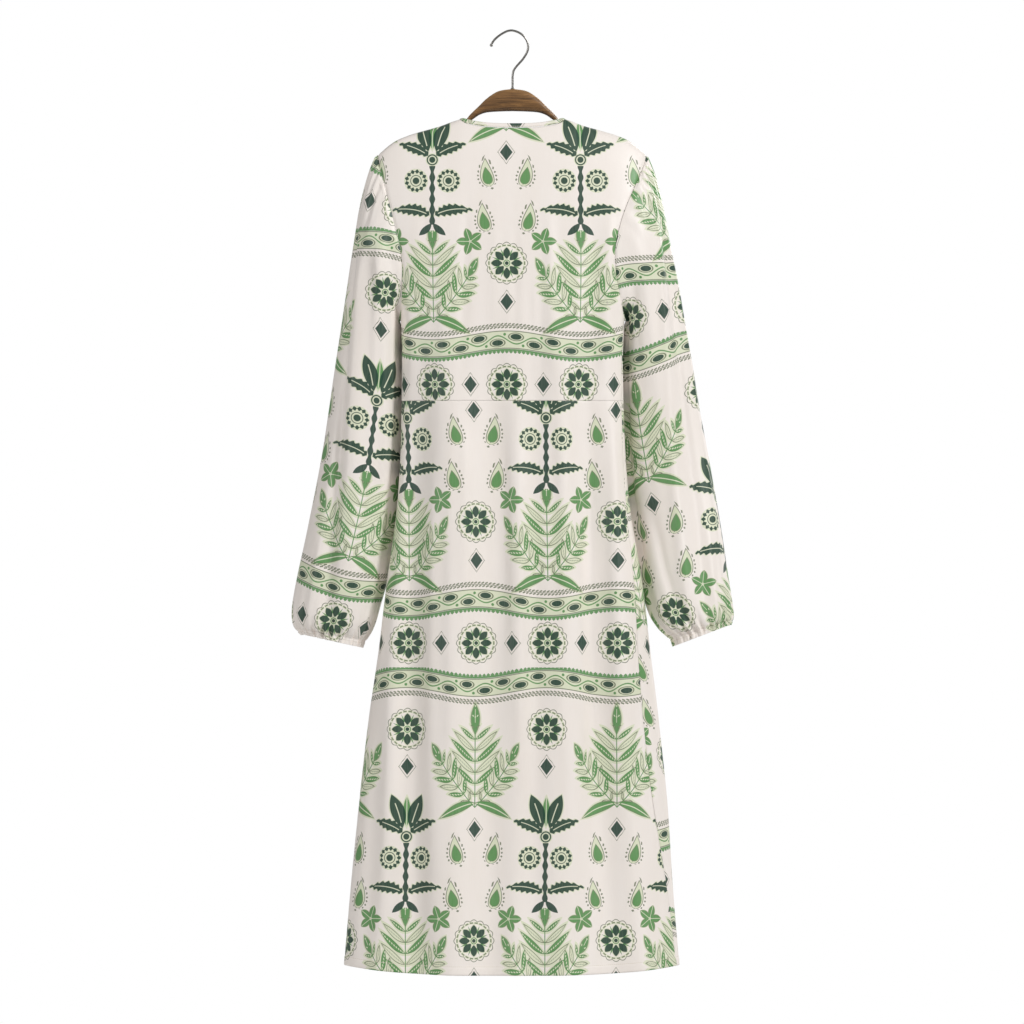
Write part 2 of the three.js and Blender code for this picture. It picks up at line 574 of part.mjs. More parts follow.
// The wire hook: a stem out of the wood, a bend to one side and a round crown down to the ball at its tip.
function hookPath() {
  const crown = new THREE.Vector2(-4, -22.5 + WIRE_RADIUS);
  const radius = 22.5;
  const at = (x, z) => new THREE.Vector3(x, 0, z);
  const arc = [];
  for (let turn = 172; turn >= -28; turn -= 12.5) {
    const dip = turn > 90 ? 3.5 * Math.sin(rad(2 * turn - 180)) : 0;
    arc.push(at(crown.x + radius * 1.13 * Math.cos(rad(turn)), crown.y + radius * Math.sin(rad(turn)) - dip));
  }
  const stem = [at(13.5, -39), at(6, -47.4), at(1.7, -53.5), at(0.2, -60), at(0, -68), at(0, WOOD_TOP + SEAM_GAP)];
  return new THREE.CatmullRomCurve3([...arc, ...stem], false, 'centripetal');
}

const wasm = await Module();
wasm.setup();

function manifoldOf(geometry) {
  geometry.deleteAttribute('normal');
  geometry.deleteAttribute('uv');
  const merged = mergeVertices(geometry);
  const vertProperties = new Float32Array(merged.attributes.position.array);
  const triVerts = new Uint32Array(merged.index.array);
  return new wasm.Manifold(new wasm.Mesh({ numProp: 3, vertProperties, triVerts }));
}

function hookSolid() {
  const ring = new THREE.Shape();
  ring.absarc(0, 0, WIRE_RADIUS, 0, 2 * Math.PI);
  const path = hookPath();
  const wire = new THREE.ExtrudeGeometry(ring, {
    extrudePath: path, steps: 44, curveSegments: 4, bevelEnabled: false,
  });
  const tip = path.getPoint(0);
  const ball = new THREE.SphereGeometry(TIP_RADIUS, 10, 8).translate(tip.x, tip.y, tip.z);
  const joined = manifoldOf(wire).add(manifoldOf(ball)).getMesh();
  const geometry = new THREE.BufferGeometry();
  geometry.setAttribute('position', new THREE.BufferAttribute(joined.vertProperties, 3));
  geometry.setIndex(new THREE.BufferAttribute(joined.triVerts, 1));
  return geometry;
}

const dress = new THREE.Group();
addMesh(dress, 'bodice_back', bodiceBack(), cloth());
addMesh(dress, 'bodice_front_left', bodiceFront(-1), cloth());
addMesh(dress, 'bodice_front_right', bodiceFront(1), cloth());
const leftSeam = (z) => seamAngle(-1, -1, z);
const rightSeam = (z) => seamAngle(1, -1, z);
const overEdge = (z) => angleAtX(1, -OVERLAP, z);
const underEdge = (z) => angleAtX(1, OVERLAP, z, -1);
addMesh(dress, 'skirt_back', skirtPanel(-1, leftSeam, rightSeam, 26), cloth());
addMesh(dress, 'skirt_front_right', skirtPanel(1, rightSeam, overEdge, 15, 1), cloth());
addMesh(dress, 'skirt_front_left', skirtPanel(1, underEdge, leftSeam, 15, -1), cloth());
addMesh(dress, 'sleeve_left', sleeveSolid(-1, leftSleeve), cloth());
addMesh(dress, 'sleeve_right', sleeveSolid(1, rightSleeve), cloth());
addMesh(dress, 'neck_band_back', neckBand(-1, 0), cloth());
addMesh(dress, 'neck_band_left', neckBand(1, -1), cloth());
addMesh(dress, 'neck_band_right', neckBand(1, 1), cloth());
addButtons(dress);
addMesh(dress, 'hanger_wood', woodSolid(), wood);
addMesh(dress, 'hanger_hook', hookSolid(), steel);
export default dress;
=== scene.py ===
import math
from functools import partial, reduce

import bmesh
import bpy
import numpy as np
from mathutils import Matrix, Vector, noise


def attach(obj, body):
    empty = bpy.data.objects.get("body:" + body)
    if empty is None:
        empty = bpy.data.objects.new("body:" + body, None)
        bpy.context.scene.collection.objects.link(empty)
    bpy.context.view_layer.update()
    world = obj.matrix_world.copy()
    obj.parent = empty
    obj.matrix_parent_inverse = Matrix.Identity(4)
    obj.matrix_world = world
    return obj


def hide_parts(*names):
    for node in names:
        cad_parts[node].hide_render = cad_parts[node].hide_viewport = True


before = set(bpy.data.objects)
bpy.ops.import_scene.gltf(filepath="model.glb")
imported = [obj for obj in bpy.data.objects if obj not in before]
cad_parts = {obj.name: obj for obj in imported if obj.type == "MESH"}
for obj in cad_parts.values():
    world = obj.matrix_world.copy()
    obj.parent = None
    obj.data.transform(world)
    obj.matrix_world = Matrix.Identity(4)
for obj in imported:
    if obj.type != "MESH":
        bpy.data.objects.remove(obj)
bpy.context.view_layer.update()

# Camera: straight on to the back of the dress as it hangs from the rail, from far enough off that the
# sleeves and the hem are seen almost without perspective.
VIEW_WIDTH = 1.410
VIEW_DISTANCE = 18.0
VIEW_MIDDLE = (-0.0008, -0.6617)
camera_lens = bpy.data.cameras.new("camera")
camera_lens.sensor_width = 36.0
camera_lens.lens = camera_lens.sensor_width * VIEW_DISTANCE / VIEW_WIDTH
camera_lens.clip_end = 60.0
camera = bpy.data.objects.new("camera", camera_lens)
camera.location = (VIEW_MIDDLE[0], -VIEW_DISTANCE, VIEW_MIDDLE[1])
camera.rotation_euler = (math.radians(90), 0, 0)
bpy.context.scene.collection.objects.link(camera)
bpy.context.scene.camera = camera


# Studio: a pale matt floor well below the hem, white all round, one large soft light from the upper right of
# the back and weaker ones from the left and from the front.
FLOOR_HEIGHT = -1.66
FLOOR_RADIUS = 1.7
LIGHTS_AIM = Vector((0, 0, -0.65))


def new_material(name, numbers):
    """A material, its nodes and its shader, with plain numbers or a plain colour set on the shader."""
    material = bpy.data.materials.new(name)
    material.use_nodes = True
    tree = material.node_tree
    shader = tree.nodes["Principled BSDF"]
    for socket, number in numbers.items():
        shader.inputs[socket].default_value = number
    return material, tree, shader


def add_node(tree, kind, inputs, **options):
    """A node with its options set. Each input takes a number, a colour or the output of another node."""
    node = tree.nodes.new("ShaderNode" + kind)
    for option, choice in options.items():
        setattr(node, option, choice)
    for name, value in inputs.items():
        if isinstance(value, bpy.types.NodeSocket):
            tree.links.new(value, node.inputs[name])
        else:
            node.inputs[name].default_value = value
    return node


floor_mesh = bpy.data.meshes.new("floor")
floor_build = bmesh.new()
bmesh.ops.create_circle(floor_build, cap_ends=True, segments=96, radius=FLOOR_RADIUS)
bmesh.ops.translate(floor_build, verts=floor_build.verts, vec=(0, 0, FLOOR_HEIGHT))
floor_build.to_mesh(floor_mesh)
floor_build.free()
floor = bpy.data.objects.new("floor", floor_mesh)
bpy.context.scene.collection.objects.link(floor)
floor_paint, _, _ = new_material("floor_paint", {"Base Color": (0.76, 0.76, 0.75, 1), "Roughness": 0.9})
floor_mesh.materials.append(floor_paint)

bpy.context.scene.view_settings.view_transform = "Standard"
studio = bpy.data.worlds.new("studio")
studio.use_nodes = True
bpy.context.scene.world = studio
studio_tree = studio.node_tree
seen_white = studio_tree.nodes["Background"]
seen_white.inputs["Color"].default_value = (1, 1, 1, 1)
seen_white.inputs["Strength"].default_value = 1.0
lit_white = add_node(studio_tree, "Background", {"Color": (1.0, 0.99, 0.98, 1), "Strength": 0.315})
studio_rays = add_node(studio_tree, "LightPath", {})
studio_mix = add_node(studio_tree, "MixShader", {
    "Fac": studio_rays.outputs["Is Camera Ray"],
    1: lit_white.outputs["Background"],
    2: seen_white.outputs["Background"],
})
studio_tree.links.new(studio_mix.outputs["Shader"], studio_tree.nodes["World Output"].inputs["Surface"])


def soft_light(name, place, across, power):
    lamp = bpy.data.lights.new(name, "AREA")
    lamp.shape = "RECTANGLE"
    lamp.size, lamp.size_y = across
    lamp.energy = power
    lit = bpy.data.objects.new(name, lamp)
    lit.location = place
    aim = LIGHTS_AIM - Vector(place)
    lit.rotation_euler = aim.to_track_quat("-Z", "Y").to_euler()
    bpy.context.scene.collection.objects.link(lit)


soft_light("key_light", (2.9, -2.8, 1.6), (1.0, 1.8), 128)
soft_light("fill_light", (-3.2, -2.4, 0.8), (1.2, 2.2), 46)
soft_light("front_light", (2.2, 3.2, 1.2), (1.4, 2.0), 96)


# Hanger: one bow of hardwood, turned round along its edges, stained mid brown and varnished. The middle
# stands clear of the neck and each arm runs down inside the shoulder that it carries.
MM = 0.001
WALL = 1.6
NECK_HEIGHT = -119.0
ARM_REACH = 158.0
ARM_CLEARANCE = 0.9
ARM_HEIGHT = 19.0
ARM_SETTLED = 84.0
ARM_TIP_HALF = 3.4
# Height of the shoulder ridge by distance from the middle.
shoulder_line = [
    (0, -119), (66, -119), (100, -130), (130, -138.5), (156, -147.5), (172, -157.5), (186, -170),
]
# Upright sections of the wood: distance from the middle, top, underside, half thickness.
wood_sections = [
    (0, -79, -109.8, 6.5), (20, -82.4, -110.4, 6.5), (36, -92.6, -111.8, 6.3), (46, -102.4, -115.2, 6),
    (54, -110, -120.6, 5.6), (60, -116.2, -125, 4.9), (64, -121.7, -128, 4.5),
]


def srgb(red, green, blue):
    """A colour as it is seen, 0 to 255, in the linear light that shaders take."""
    return tuple(
        (c / 255 / 12.92) if c / 255 <= 0.04045 else ((c / 255 + 0.055) / 1.055) ** 2.4
        for c in (red, green, blue)
    ) + (1.0,)


def blend(tree, share, first, second):
    """One colour giving way to a second by a share from 0 to 1."""
    mix = add_node(tree, "Mix", {"Factor": share, "A": first, "B": second}, data_type="RGBA")
    return mix.outputs["Result"]


def ranged(tree, value, start, end, low, high):
    """A value brought from between start and end to between low and high."""
    limits = {"Value": value, "From Min": start, "From Max": end, "To Min": low, "To Max": high}
    return add_node(tree, "MapRange", limits).outputs["Result"]


def noise_value(tree, place, scale, detail=2.0, **inputs):
    """Uneven value over a piece. Any further inputs are named as the node's own, in small letters."""
    inputs = {name.capitalize(): number for name, number in inputs.items()}
    noise_node = add_node(tree, "TexNoise", {"Vector": place, "Scale": scale, "Detail": detail, **inputs})
    return noise_node.outputs["Fac"]


def add_relief(tree, shader, height, strength, distance):
    relief = add_node(tree, "Bump", {"Strength": strength, "Distance": distance, "Height": height})
    tree.links.new(relief.outputs["Normal"], shader.inputs["Normal"])


def table_value(table, column, at):
    """Smooth value of one column of a table whose first column is the place."""
    places = np.array([row[0] for row in table], float)
    values = np.array([row[column] for row in table], float)
    at = np.asarray(at, float)
    if places[0] > places[-1]:
        places, at = -places, -at
    rise = np.empty_like(values)
    rise[1:-1] = (values[2:] - values[:-2]) / (places[2:] - places[:-2])
    rise[0] = (values[1] - values[0]) / (places[1] - places[0])
    rise[-1] = (values[-1] - values[-2]) / (places[-1] - places[-2])
    i = np.clip(np.searchsorted(places, at) - 1, 0, len(places) - 2)
    span = places[i + 1] - places[i]
    t = np.clip((at - places[i]) / span, 0, 1)
    t2, t3 = t * t, t * t * t
    return (
        (2 * t3 - 3 * t2 + 1) * values[i]
        + (t3 - 2 * t2 + t) * span * rise[i]
        + (3 * t2 - 2 * t3) * values[i + 1]
        + (t3 - t2) * span * rise[i + 1]
    )


def smooth(low, high, at):
    t = np.clip((np.asarray(at, float) - low) / (high - low), 0, 1)
    return t * t * (3 - 2 * t)


def mixed(a, b, share):
    return a + (b - a) * share


def ridge_height(x):
    return table_value(shoulder_line, 1, np.abs(x))


def wood_section(x):
    reach = np.abs(x)
    last_x, last_top, last_under, last_half = wood_sections[-1]
    out = np.clip((reach - last_x) / (ARM_REACH - last_x), 0, 1)
    settle = smooth(last_x, ARM_SETTLED, reach)
    seated = ridge_height(reach) - WALL - ARM_CLEARANCE - 0.8 * out
    height = mixed(last_top - last_under, ARM_HEIGHT, settle) * (1 - 0.45 * out**3)
    inside = reach <= last_x
    top = np.where(inside, table_value(wood_sections, 1, reach), seated)
    under = np.where(inside, table_value(wood_sections, 2, reach), seated - height)
    half = np.where(inside, table_value(wood_sections, 3, reach), mixed(last_half, ARM_TIP_HALF, out**1.2))
    return top, under, half


def finished(name, build, material, body="root"):
    """Mesh object from a bmesh, shaded smooth, riding on a body."""
    mesh = bpy.data.meshes.new(name)
    build.to_mesh(mesh)
    build.free()
    mesh.shade_smooth()
    mesh.materials.append(material)
    piece = bpy.data.objects.new(name, mesh)
    bpy.context.scene.collection.objects.link(piece)
    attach(piece, body)
    return piece


def close_ends(build):
    """Join the long edges of a rolled-up grid and close both its ends."""
    bmesh.ops.remove_doubles(build, verts=build.verts, dist=1e-6)
    bmesh.ops.holes_fill(build, edges=[e for e in build.edges if e.is_boundary], sides=0)


WOOD_LONG, WOOD_ROUND = 220, 40
wood_build = bmesh.new()
bmesh.ops.create_grid(wood_build, x_segments=WOOD_LONG, y_segments=WOOD_ROUND, size=1)
along_wood = np.array([v.co.x for v in wood_build.verts])
round_wood = np.array([v.co.y for v in wood_build.verts]) * math.pi
wood_x = along_wood * ARM_REACH
wood_top, wood_under, wood_half = wood_section(wood_x)
sine, cosine = np.sin(round_wood), np.cos(round_wood)
wood_y = wood_half * np.sign(sine) * np.abs(sine) ** 0.8
wood_z = (wood_top + wood_under) / 2 + np.sign(cosine) * np.abs(cosine) ** 0.9 * (wood_top - wood_under) / 2
for vertex, x, y, z in zip(wood_build.verts, wood_x, wood_y, wood_z):
    vertex.co = Vector((x, y, z)) * MM
close_ends(wood_build)
bmesh.ops.recalc_face_normals(wood_build, faces=wood_build.faces)

wood_stain, tree, shader = new_material(
    "stained_wood", {"Roughness": 0.42, "Coat Weight": 0.2, "Coat Roughness": 0.22})
where = add_node(tree, "TexCoord", {})
grain_way = add_node(tree, "Mapping", {"Scale": (9, 140, 140), "Vector": where.outputs["Object"]})
grain = noise_value(tree, grain_way.outputs["Vector"], 2.2, 6, roughness=0.62, distortion=0.6)
patches = noise_value(tree, where.outputs["Object"], 38)
up = add_node(tree, "SeparateXYZ", {"Vector": where.outputs["Normal"]}).outputs["Z"]
stain = add_node(tree, "ValToRGB", {"Fac": grain})
tones = stain.color_ramp.elements
tones[0].position, tones[0].color = 0.3, srgb(70, 48, 24)
tones[1].position, tones[1].color = 0.72, srgb(172, 126, 74)
tones.new(0.5).color = srgb(126, 90, 50)
patched = blend(tree, ranged(tree, patches, 0.35, 0.75, 0, 0.45), stain.outputs["Color"], srgb(92, 63, 34))
# Painted highlight: faces turned up are blended towards a light tan, as if lit from above.
painted_top_highlight = blend(tree, ranged(tree, up, 0.35, 0.95, 0, 0.5), patched, srgb(192, 152, 104))
# Painted shade: faces turned down are blended towards a dark brown, as if in shadow under the wood.
underside_painted_shade = blend(tree, ranged(tree, up, 0, -0.8, 0, 0.7), painted_top_highlight, srgb(46, 30, 18))
tree.links.new(underside_painted_shade, shader.inputs["Base Color"])
add_relief(tree, shader, grain, 0.25, 0.0006)

hanger = finished("hanger_bow", wood_build, wood_stain)
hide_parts("hanger_wood")


# Hook: one length of bright steel wire screwed into the wood, with a bend to one side below a round crown.
# The end is finished with a small ball so that it doesn't scratch the rail.
WIRE_RADIUS = 1.5
BALL_RADIUS = 2.3
CROWN_X, CROWN_Z, CROWN_RADIUS = -4.0, -21.0, 22.5
CROWN_STRETCH = 1.13
CROWN_DIP = 3.5
COLLAR_Z, COLLAR_HEIGHT = -78.4, 1.6
COLLAR_FOOT, COLLAR_TOP = 2.9, 2.2
hook_turns = np.radians(np.arange(172, -28.1, -12.5))
hook_dip = np.where(hook_turns > math.pi / 2, CROWN_DIP * np.sin(2 * hook_turns - math.pi), 0)
crown_line = zip(CROWN_X + CROWN_RADIUS * CROWN_STRETCH * np.cos(hook_turns),
                 CROWN_Z + CROWN_RADIUS * np.sin(hook_turns) - hook_dip)
shank_line = ((13.5, -39), (6, -47.4), (1.7, -53.5), (0.2, -60), (0, -68), (0, -78.6), (0, -84))
hook_places = [Vector((x, 0, z)) for x, z in (*crown_line, *shank_line)]


def rounded_path(places, pieces):
    """Points of a smooth curve through places, the same number in each stretch."""
    ends = [places[0] * 2 - places[1], *places, places[-1] * 2 - places[-2]]
    found = []
    for a, b, c, d in zip(ends, ends[1:], ends[2:], ends[3:]):
        knots = [0.0]
        for start, end in ((a, b), (b, c), (c, d)):
            knots.append(knots[-1] + (end - start).length ** 0.5)
        t0, t1, t2, t3 = knots
        for step in range(pieces):
            t = t1 + (t2 - t1) * step / pieces
            p = a.lerp(b, (t - t0) / (t1 - t0))
            q = b.lerp(c, (t - t1) / (t2 - t1))
            r = c.lerp(d, (t - t2) / (t3 - t2))
            early, late = p.lerp(q, (t - t0) / (t2 - t0)), q.lerp(r, (t - t1) / (t3 - t1))
            found.append(early.lerp(late, (t - t1) / (t2 - t1)))
    return found + [places[-1]]


HOOK_ROUND = 20
hook_route = rounded_path(hook_places, 6)
hook_build = bmesh.new()
bmesh.ops.create_grid(hook_build, x_segments=len(hook_route) - 1, y_segments=HOOK_ROUND, size=1)
for vertex in hook_build.verts:
    step = round((vertex.co.x + 1) / 2 * (len(hook_route) - 1))
    turn = vertex.co.y * math.pi
    way = hook_route[min(step + 1, len(hook_route) - 1)] - hook_route[max(step - 1, 0)]
    out = Vector((way.z, 0, -way.x)).normalized()
    round_wire = out * math.cos(turn) + Vector((0, 1, 0)) * math.sin(turn)
    vertex.co = (hook_route[step] + round_wire * WIRE_RADIUS) * MM
close_ends(hook_build)
ball = bmesh.ops.create_uvsphere(hook_build, u_segments=24, v_segments=16, radius=BALL_RADIUS * MM)
bmesh.ops.translate(hook_build, verts=ball["verts"], vec=hook_route[0] * MM)
collar = bmesh.ops.create_cone(hook_build, cap_ends=True, segments=24, radius1=COLLAR_FOOT * MM,
                               radius2=COLLAR_TOP * MM, depth=COLLAR_HEIGHT * MM)
bmesh.ops.translate(hook_build, verts=collar["verts"], vec=(0, 0, COLLAR_Z * MM))
bmesh.ops.recalc_face_normals(hook_build, faces=hook_build.faces)


def clouded(name, numbers, scale, detail, first, second, **inputs):
    """A material clouded between two colours, with the unevenness that clouds it."""
    material, tree, shader = new_material(name, numbers)
    place = add_node(tree, "TexCoord", {}).outputs["Object"]
    cloud = noise_value(tree, place, scale, detail, **inputs)
    tree.links.new(blend(tree, cloud, srgb(*first), srgb(*second)), shader.inputs["Base Color"])
    return material, tree, shader, cloud


hook_steel, tree, shader, drawn = clouded(
    "bright_steel", {"Metallic": 1.0}, 420, 3, (134, 132, 128), (170, 168, 164))
tree.links.new(ranged(tree, drawn, 0, 1, 0.2, 0.36), shader.inputs["Roughness"])
add_relief(tree, shader, drawn, 0.1, 0.00002)

hook = finished("hook_wire", hook_build, hook_steel)
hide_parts("hanger_hook")


# Bodice back: one panel of printed satin from shoulder to shoulder and down to the waist seam, cut a little
# hollow at the armholes. It hangs from the hanger's arms, flat across and eased in at the waist.
CLOTH_THICKNESS = 0.8
SEAM_GAP = 0.4
SHOULDER_TIP = -170.0
UNDERARM = -400.0
WAIST = -509.0
HEM = -1298.0
NECK_HALF = 67.0
BACK_NECK_DROP = 7.5
FRONT_NECK_DROP = 190.0
FRONT_NECK_CURVE = 1.15
OVERLAP = 14.0
BAND_WIDTH = 6.0
RIDGE_RADIUS = 8.0
SHOULDER_FALL = 55.0
ARMHOLE_SCOOP = 26.0
RIGHT_BACK_SCOOP = 35.0
ARMHOLE_FULLNESS = 0.7
LEFT_SEAM_WRAP = 4.0
# Level sections: height, left and right outline, right side seam, depth behind and ahead of the side line,
# how far the side line lies off the middle, and how square the section is.
body_sections = [
    (-119, -186, 184, 184, 44, 40, 0, 5), (-200, -185, 184, 184, 44, 40, 0, 4.6),
    (-265, -180, 179, 179, 47, 44, -2, 3.8), (-322, -166, 166, 166, 49, 48, -4, 3.2),
    (-400, -154, 154, 153.9, 50, 51, -7, 2.8), (-509, -153, 153, 150.5, 48, 51, -9, 2.6),
    (-640, -158, 160, 156, 51, 54, -9, 2.6), (-766, -174, 180, 168, 55, 57, -8, 2.5),
    (-857, -185, 190, 173, 58, 60, -6, 2.5), (-946, -198, 201, 180, 60, 62, -4, 2.4),
    (-1058, -211, 213, 193, 63, 65, -2, 2.4), (-1181, -223, 221, 213, 66, 68, 0, 2.4),
    (-1300, -233, 231, 228, 69, 71, 0, 2.4),
]
LEFT, RIGHT, SEAM, BACK, FRONT, LINE, SQUARE = range(1, 8)
# Long folds that grow down the skirt: face (-1 back, 1 front), x at the waist and at the hem, half width,
# depth (+ outwards), and the heights between which each grows.
long_folds = [
    (-1, -154, -186, 14, 7, -440, -640), (-1, -129, -133, 19, -8, -330, -600),
    (-1, -88, -86, 26, 12, -300, -600), (-1, -27, -30, 19, -7, -240, -640),
    (-1, 4, 4, 13, 4, -330, -620), (-1, 33, 30, 13, -4, -220, -600),
    (-1, 66, 70, 17, 6, -230, -620), (-1, 103, 134, 20, -9, -260, -600),
    (-1, 145, 183, 19, 10, -420, -660),
    (1, -118, -150, 20, 9, -420, -760), (1, -84, -104, 17, -8, -400, -700),
    (1, 58, 66, 16, -7, -420, -780), (1, 92, 112, 18, 8, -400, -700),
    (1, 126, 158, 18, -8, -460, -800), (1, -46, -52, 17, 5, -440, -760),
]
# Soft creases: face, x and height where each starts and ends, half width, depth (+ outwards).
creases = [
    (-1, -62, -214, -72, -500, 7, -1.5), (-1, -24, -232, -26, -505, 9, 1.3),
    (-1, 4, -250, 2, -506, 6, -1.3), (-1, 50, -232, 56, -500, 9, 2.4),
    (-1, 88, -236, 94, -506, 8, 1.4), (-1, 134, -236, 128, -500, 9, 2.8),
    (-1, -122, -216, -110, -440, 10, -1.7), (-1, -98, -330, -94, -508, 7, 1.3),
    (-1, 30, -330, 33, -508, 6, 1.1), (-1, 112, -250, 112, -506, 9, -2.2),
    (-1, -146, -330, -136, -508, 9, 2.0),
    (-1, -66, -520, -64, -880, 8, 3.2), (-1, -96, -620, -100, -1010, 7, -2.2),
    (-1, -58, -700, -52, -1180, 9, -2.4), (-1, -14, -512, -14, -900, 9, -3.0),
    (-1, 6, -512, 14, -1060, 9, 3.2), (-1, 54, -512, 62, -900, 9, -3.4),
    (-1, 106, -512, 114, -1180, 11, -5.0), (-1, 136, -512, 152, -1120, 12, 5.4),
    (-1, -136, -520, -152, -1180, 11, -4.2), (-1, -108, -560, -116, -1200, 10, 3.4),
    (-1, -2, -860, 8, -1296, 12, -2.4),
    (-1, 64, -930, 72, -1297, 12, -2.6), (-1, -104, -1010, -112, -1297, 12, 2.8),
    (-1, 168, -900, 182, -1290, 12, -3.0), (-1, -180, -900, -196, -1290, 13, -3.0),
    (1, -52, -330, -60, -505, 8, -1.6), (1, -96, -260, -92, -500, 9, -1.8),
    (1, 66, -300, 62, -505, 8, -1.5), (1, 108, -250, 104, -500, 10, -1.9),
    (1, -40, -515, -46, -900, 8, -2.4), (1, -74, -530, -82, -1040, 9, 2.8),
    (1, -128, -520, -146, -960, 9, -2.6), (1, 36, -515, 40, -980, 8, 2.2),
    (1, 78, -520, 88, -900, 9, -2.8), (1, 110, -540, 128, -1080, 9, 2.4),
    (1, -60, -900, -64, -1290, 12, -2.8), (1, 44, -960, 48, -1290, 12, -2.2),
    (1, 150, -640, 176, -1180, 10, -2.6), (1, -158, -640, -184, -1180, 10, -2.6),
]


def section(column, z):
    return table_value(body_sections, column, z)


def crease_lift(angle, x, z):
    """Height of the creases: soft troughs and ridges, thin at both ends and at the sides of the body."""
    lift = np.zeros_like(x)
    facing = np.cos(np.radians(angle))
    face = np.where(facing >= 0, -1, 1)
    for side, x0, z0, x1, z1, spread, depth in creases:
        share = (z - z0) / (z1 - z0)
        inside = np.clip(share, 0, 1)
        off = (x - mixed(x0, x1, inside)) / (spread * (0.75 + 0.5 * inside))
        fade = smooth(-0.04, 0.3, share) * (1 - smooth(0.7, 1.02, share))
        lift += np.where(face == side, depth * fade * np.exp(-off * off), 0)
    return lift * smooth(0.03, 0.42, np.abs(facing))


def body_point(angle, z):
    """A place on the body of the dress; -90 is the left side, 0 the middle back, 180 the middle front."""
    across = np.sin(np.radians(angle))
    face = np.where(np.cos(np.radians(angle)) >= 0, -1, 1)
    left, right = section(LEFT, z), section(RIGHT, z)
    x = (left + right) / 2 + across * (right - left) / 2
    full = np.where(face < 0, section(BACK, z), section(FRONT, z))
    square = section(SQUARE, z)
    bulge = (1 - np.minimum(np.abs(across), 1) ** square) ** (1 / square)
    fall = np.maximum(ridge_height(x) - z, 0)
    rounded = np.sqrt(1 - (1 - np.minimum(fall / RIDGE_RADIUS, 1)) ** 2)
    depth = RIDGE_RADIUS * rounded + (full - RIDGE_RADIUS) * (1 - np.exp(-fall / SHOULDER_FALL))
    fold = np.zeros_like(x)
    down = np.clip((WAIST - z) / (WAIST - HEM), 0, 1)
    for side, top, hem, spread, lift, start, end in long_folds:
        off = (x - mixed(top, hem, down)) / spread
        fold += np.where(face == side, lift * smooth(-start, -end, -z) * np.exp(-off * off), 0)
    y = section(LINE, z) + face * (bulge * depth + bulge**0.7 * fold)
    return np.stack([x, y, z], axis=-1)


def unit(vectors):
    return vectors / np.maximum(np.linalg.norm(vectors, axis=-1, keepdims=True), 1e-9)


def body_outward(angle, z):
    here = body_point(angle, z)
    around = body_point(angle + 0.4, z) - body_point(angle - 0.4, z)
    down = body_point(angle, z - 0.5) - body_point(angle, z + 0.5)
    way = unit(np.cross(down, around))
    x = here[..., 0]
    rise = ridge_height(x + 1) - ridge_height(x - 1)
    ridge_way = unit(np.stack([-rise, np.zeros_like(x), np.full_like(x, 2.0)], axis=-1))
    return np.where((ridge_height(x) - z < 0.6)[..., None], ridge_way, way)


def way_along(points, axis):
    """Distance over the cloth from the first row or column of a grid."""
    first = np.zeros_like(points.take([0], axis=axis)[..., 0])
    steps = np.linalg.norm(np.diff(points, axis=axis), axis=-1)
    return np.concatenate([first, np.cumsum(steps, axis=axis)], axis=axis)


GIRTH_REACH = 201.0
GIRTH_STEP = 1.5
GIRTH_FOOT = -1312.0
girth_angles = np.arange(-GIRTH_REACH, GIRTH_REACH + 0.1, GIRTH_STEP)
girth_heights = np.linspace(NECK_HEIGHT, GIRTH_FOOT, 120)
girth_rings = body_point(*np.meshgrid(girth_angles, girth_heights))
girths = way_along(girth_rings[..., :2], 1)
girths -= girths[:, [round(GIRTH_REACH / GIRTH_STEP)]]


def girth(angle, z):
    """Cloth round the body from the middle back to an angle, in mm."""
    height_step = girth_heights[1] - girth_heights[0]
    row = np.clip((z - girth_heights[0]) / height_step, 0, len(girth_heights) - 1.001)
    column = np.clip((angle + GIRTH_REACH) / GIRTH_STEP, 0, len(girth_angles) - 1.001)
    r, c = row.astype(int), column.astype(int)
    dr, dc = row - r, column - c
    upper = mixed(girths[r, c], girths[r, c + 1], dc)
    lower = mixed(girths[r + 1, c], girths[r + 1, c + 1], dc)
    return mixed(upper, lower, dr)


def angle_at(face, x, z, side=1):
    """The angle on one face at a given x. On the front it counts round from the given side."""
    left, right = section(LEFT, z), section(RIGHT, z)
    angle = np.degrees(np.arcsin(np.clip((2 * x - left - right) / (right - left), -1, 1)))
    return angle if face < 0 else side * 180 - angle


def seam_angle(side, face, z):
    """Angle of an armhole or side seam at a height."""
    down = np.clip((SHOULDER_TIP - z) / (SHOULDER_TIP - UNDERARM), 0, 1)
    scoop = RIGHT_BACK_SCOOP if side > 0 and face < 0 else ARMHOLE_SCOOP
    armhole = side * (90 + face * scoop * np.sin(math.pi * down) ** ARMHOLE_FULLNESS)
    if side < 0:
        seam = -90 - LEFT_SEAM_WRAP * smooth(-UNDERARM, 520, -z)
    else:
        middle = (section(LEFT, z) + section(RIGHT, z)) / 2
        reach = (section(SEAM, z) - middle) / (section(RIGHT, z) - middle)
        seam = np.degrees(np.arcsin(np.minimum(reach, 1)))
    return np.where(z > UNDERARM, armhole, seam)


def closer_at_ends(count, pull=0.55):
    """Even shares from 0 to 1, drawn together at both ends, where the seams bend the cloth."""
    t = np.linspace(0, 1, count + 1)
    return t - pull * np.sin(2 * math.pi * t) / (2 * math.pi)


def uneven(points, seed, size, tall):
    """Slow unevenness over the cloth, from -1 to 1: size is its width and tall its height, in mm."""
    return np.array([
        noise.noise(Vector((x / size + seed, y / size, z / tall))) for x, y, z in points.reshape(-1, 3)
    ]).reshape(points.shape[:-1])


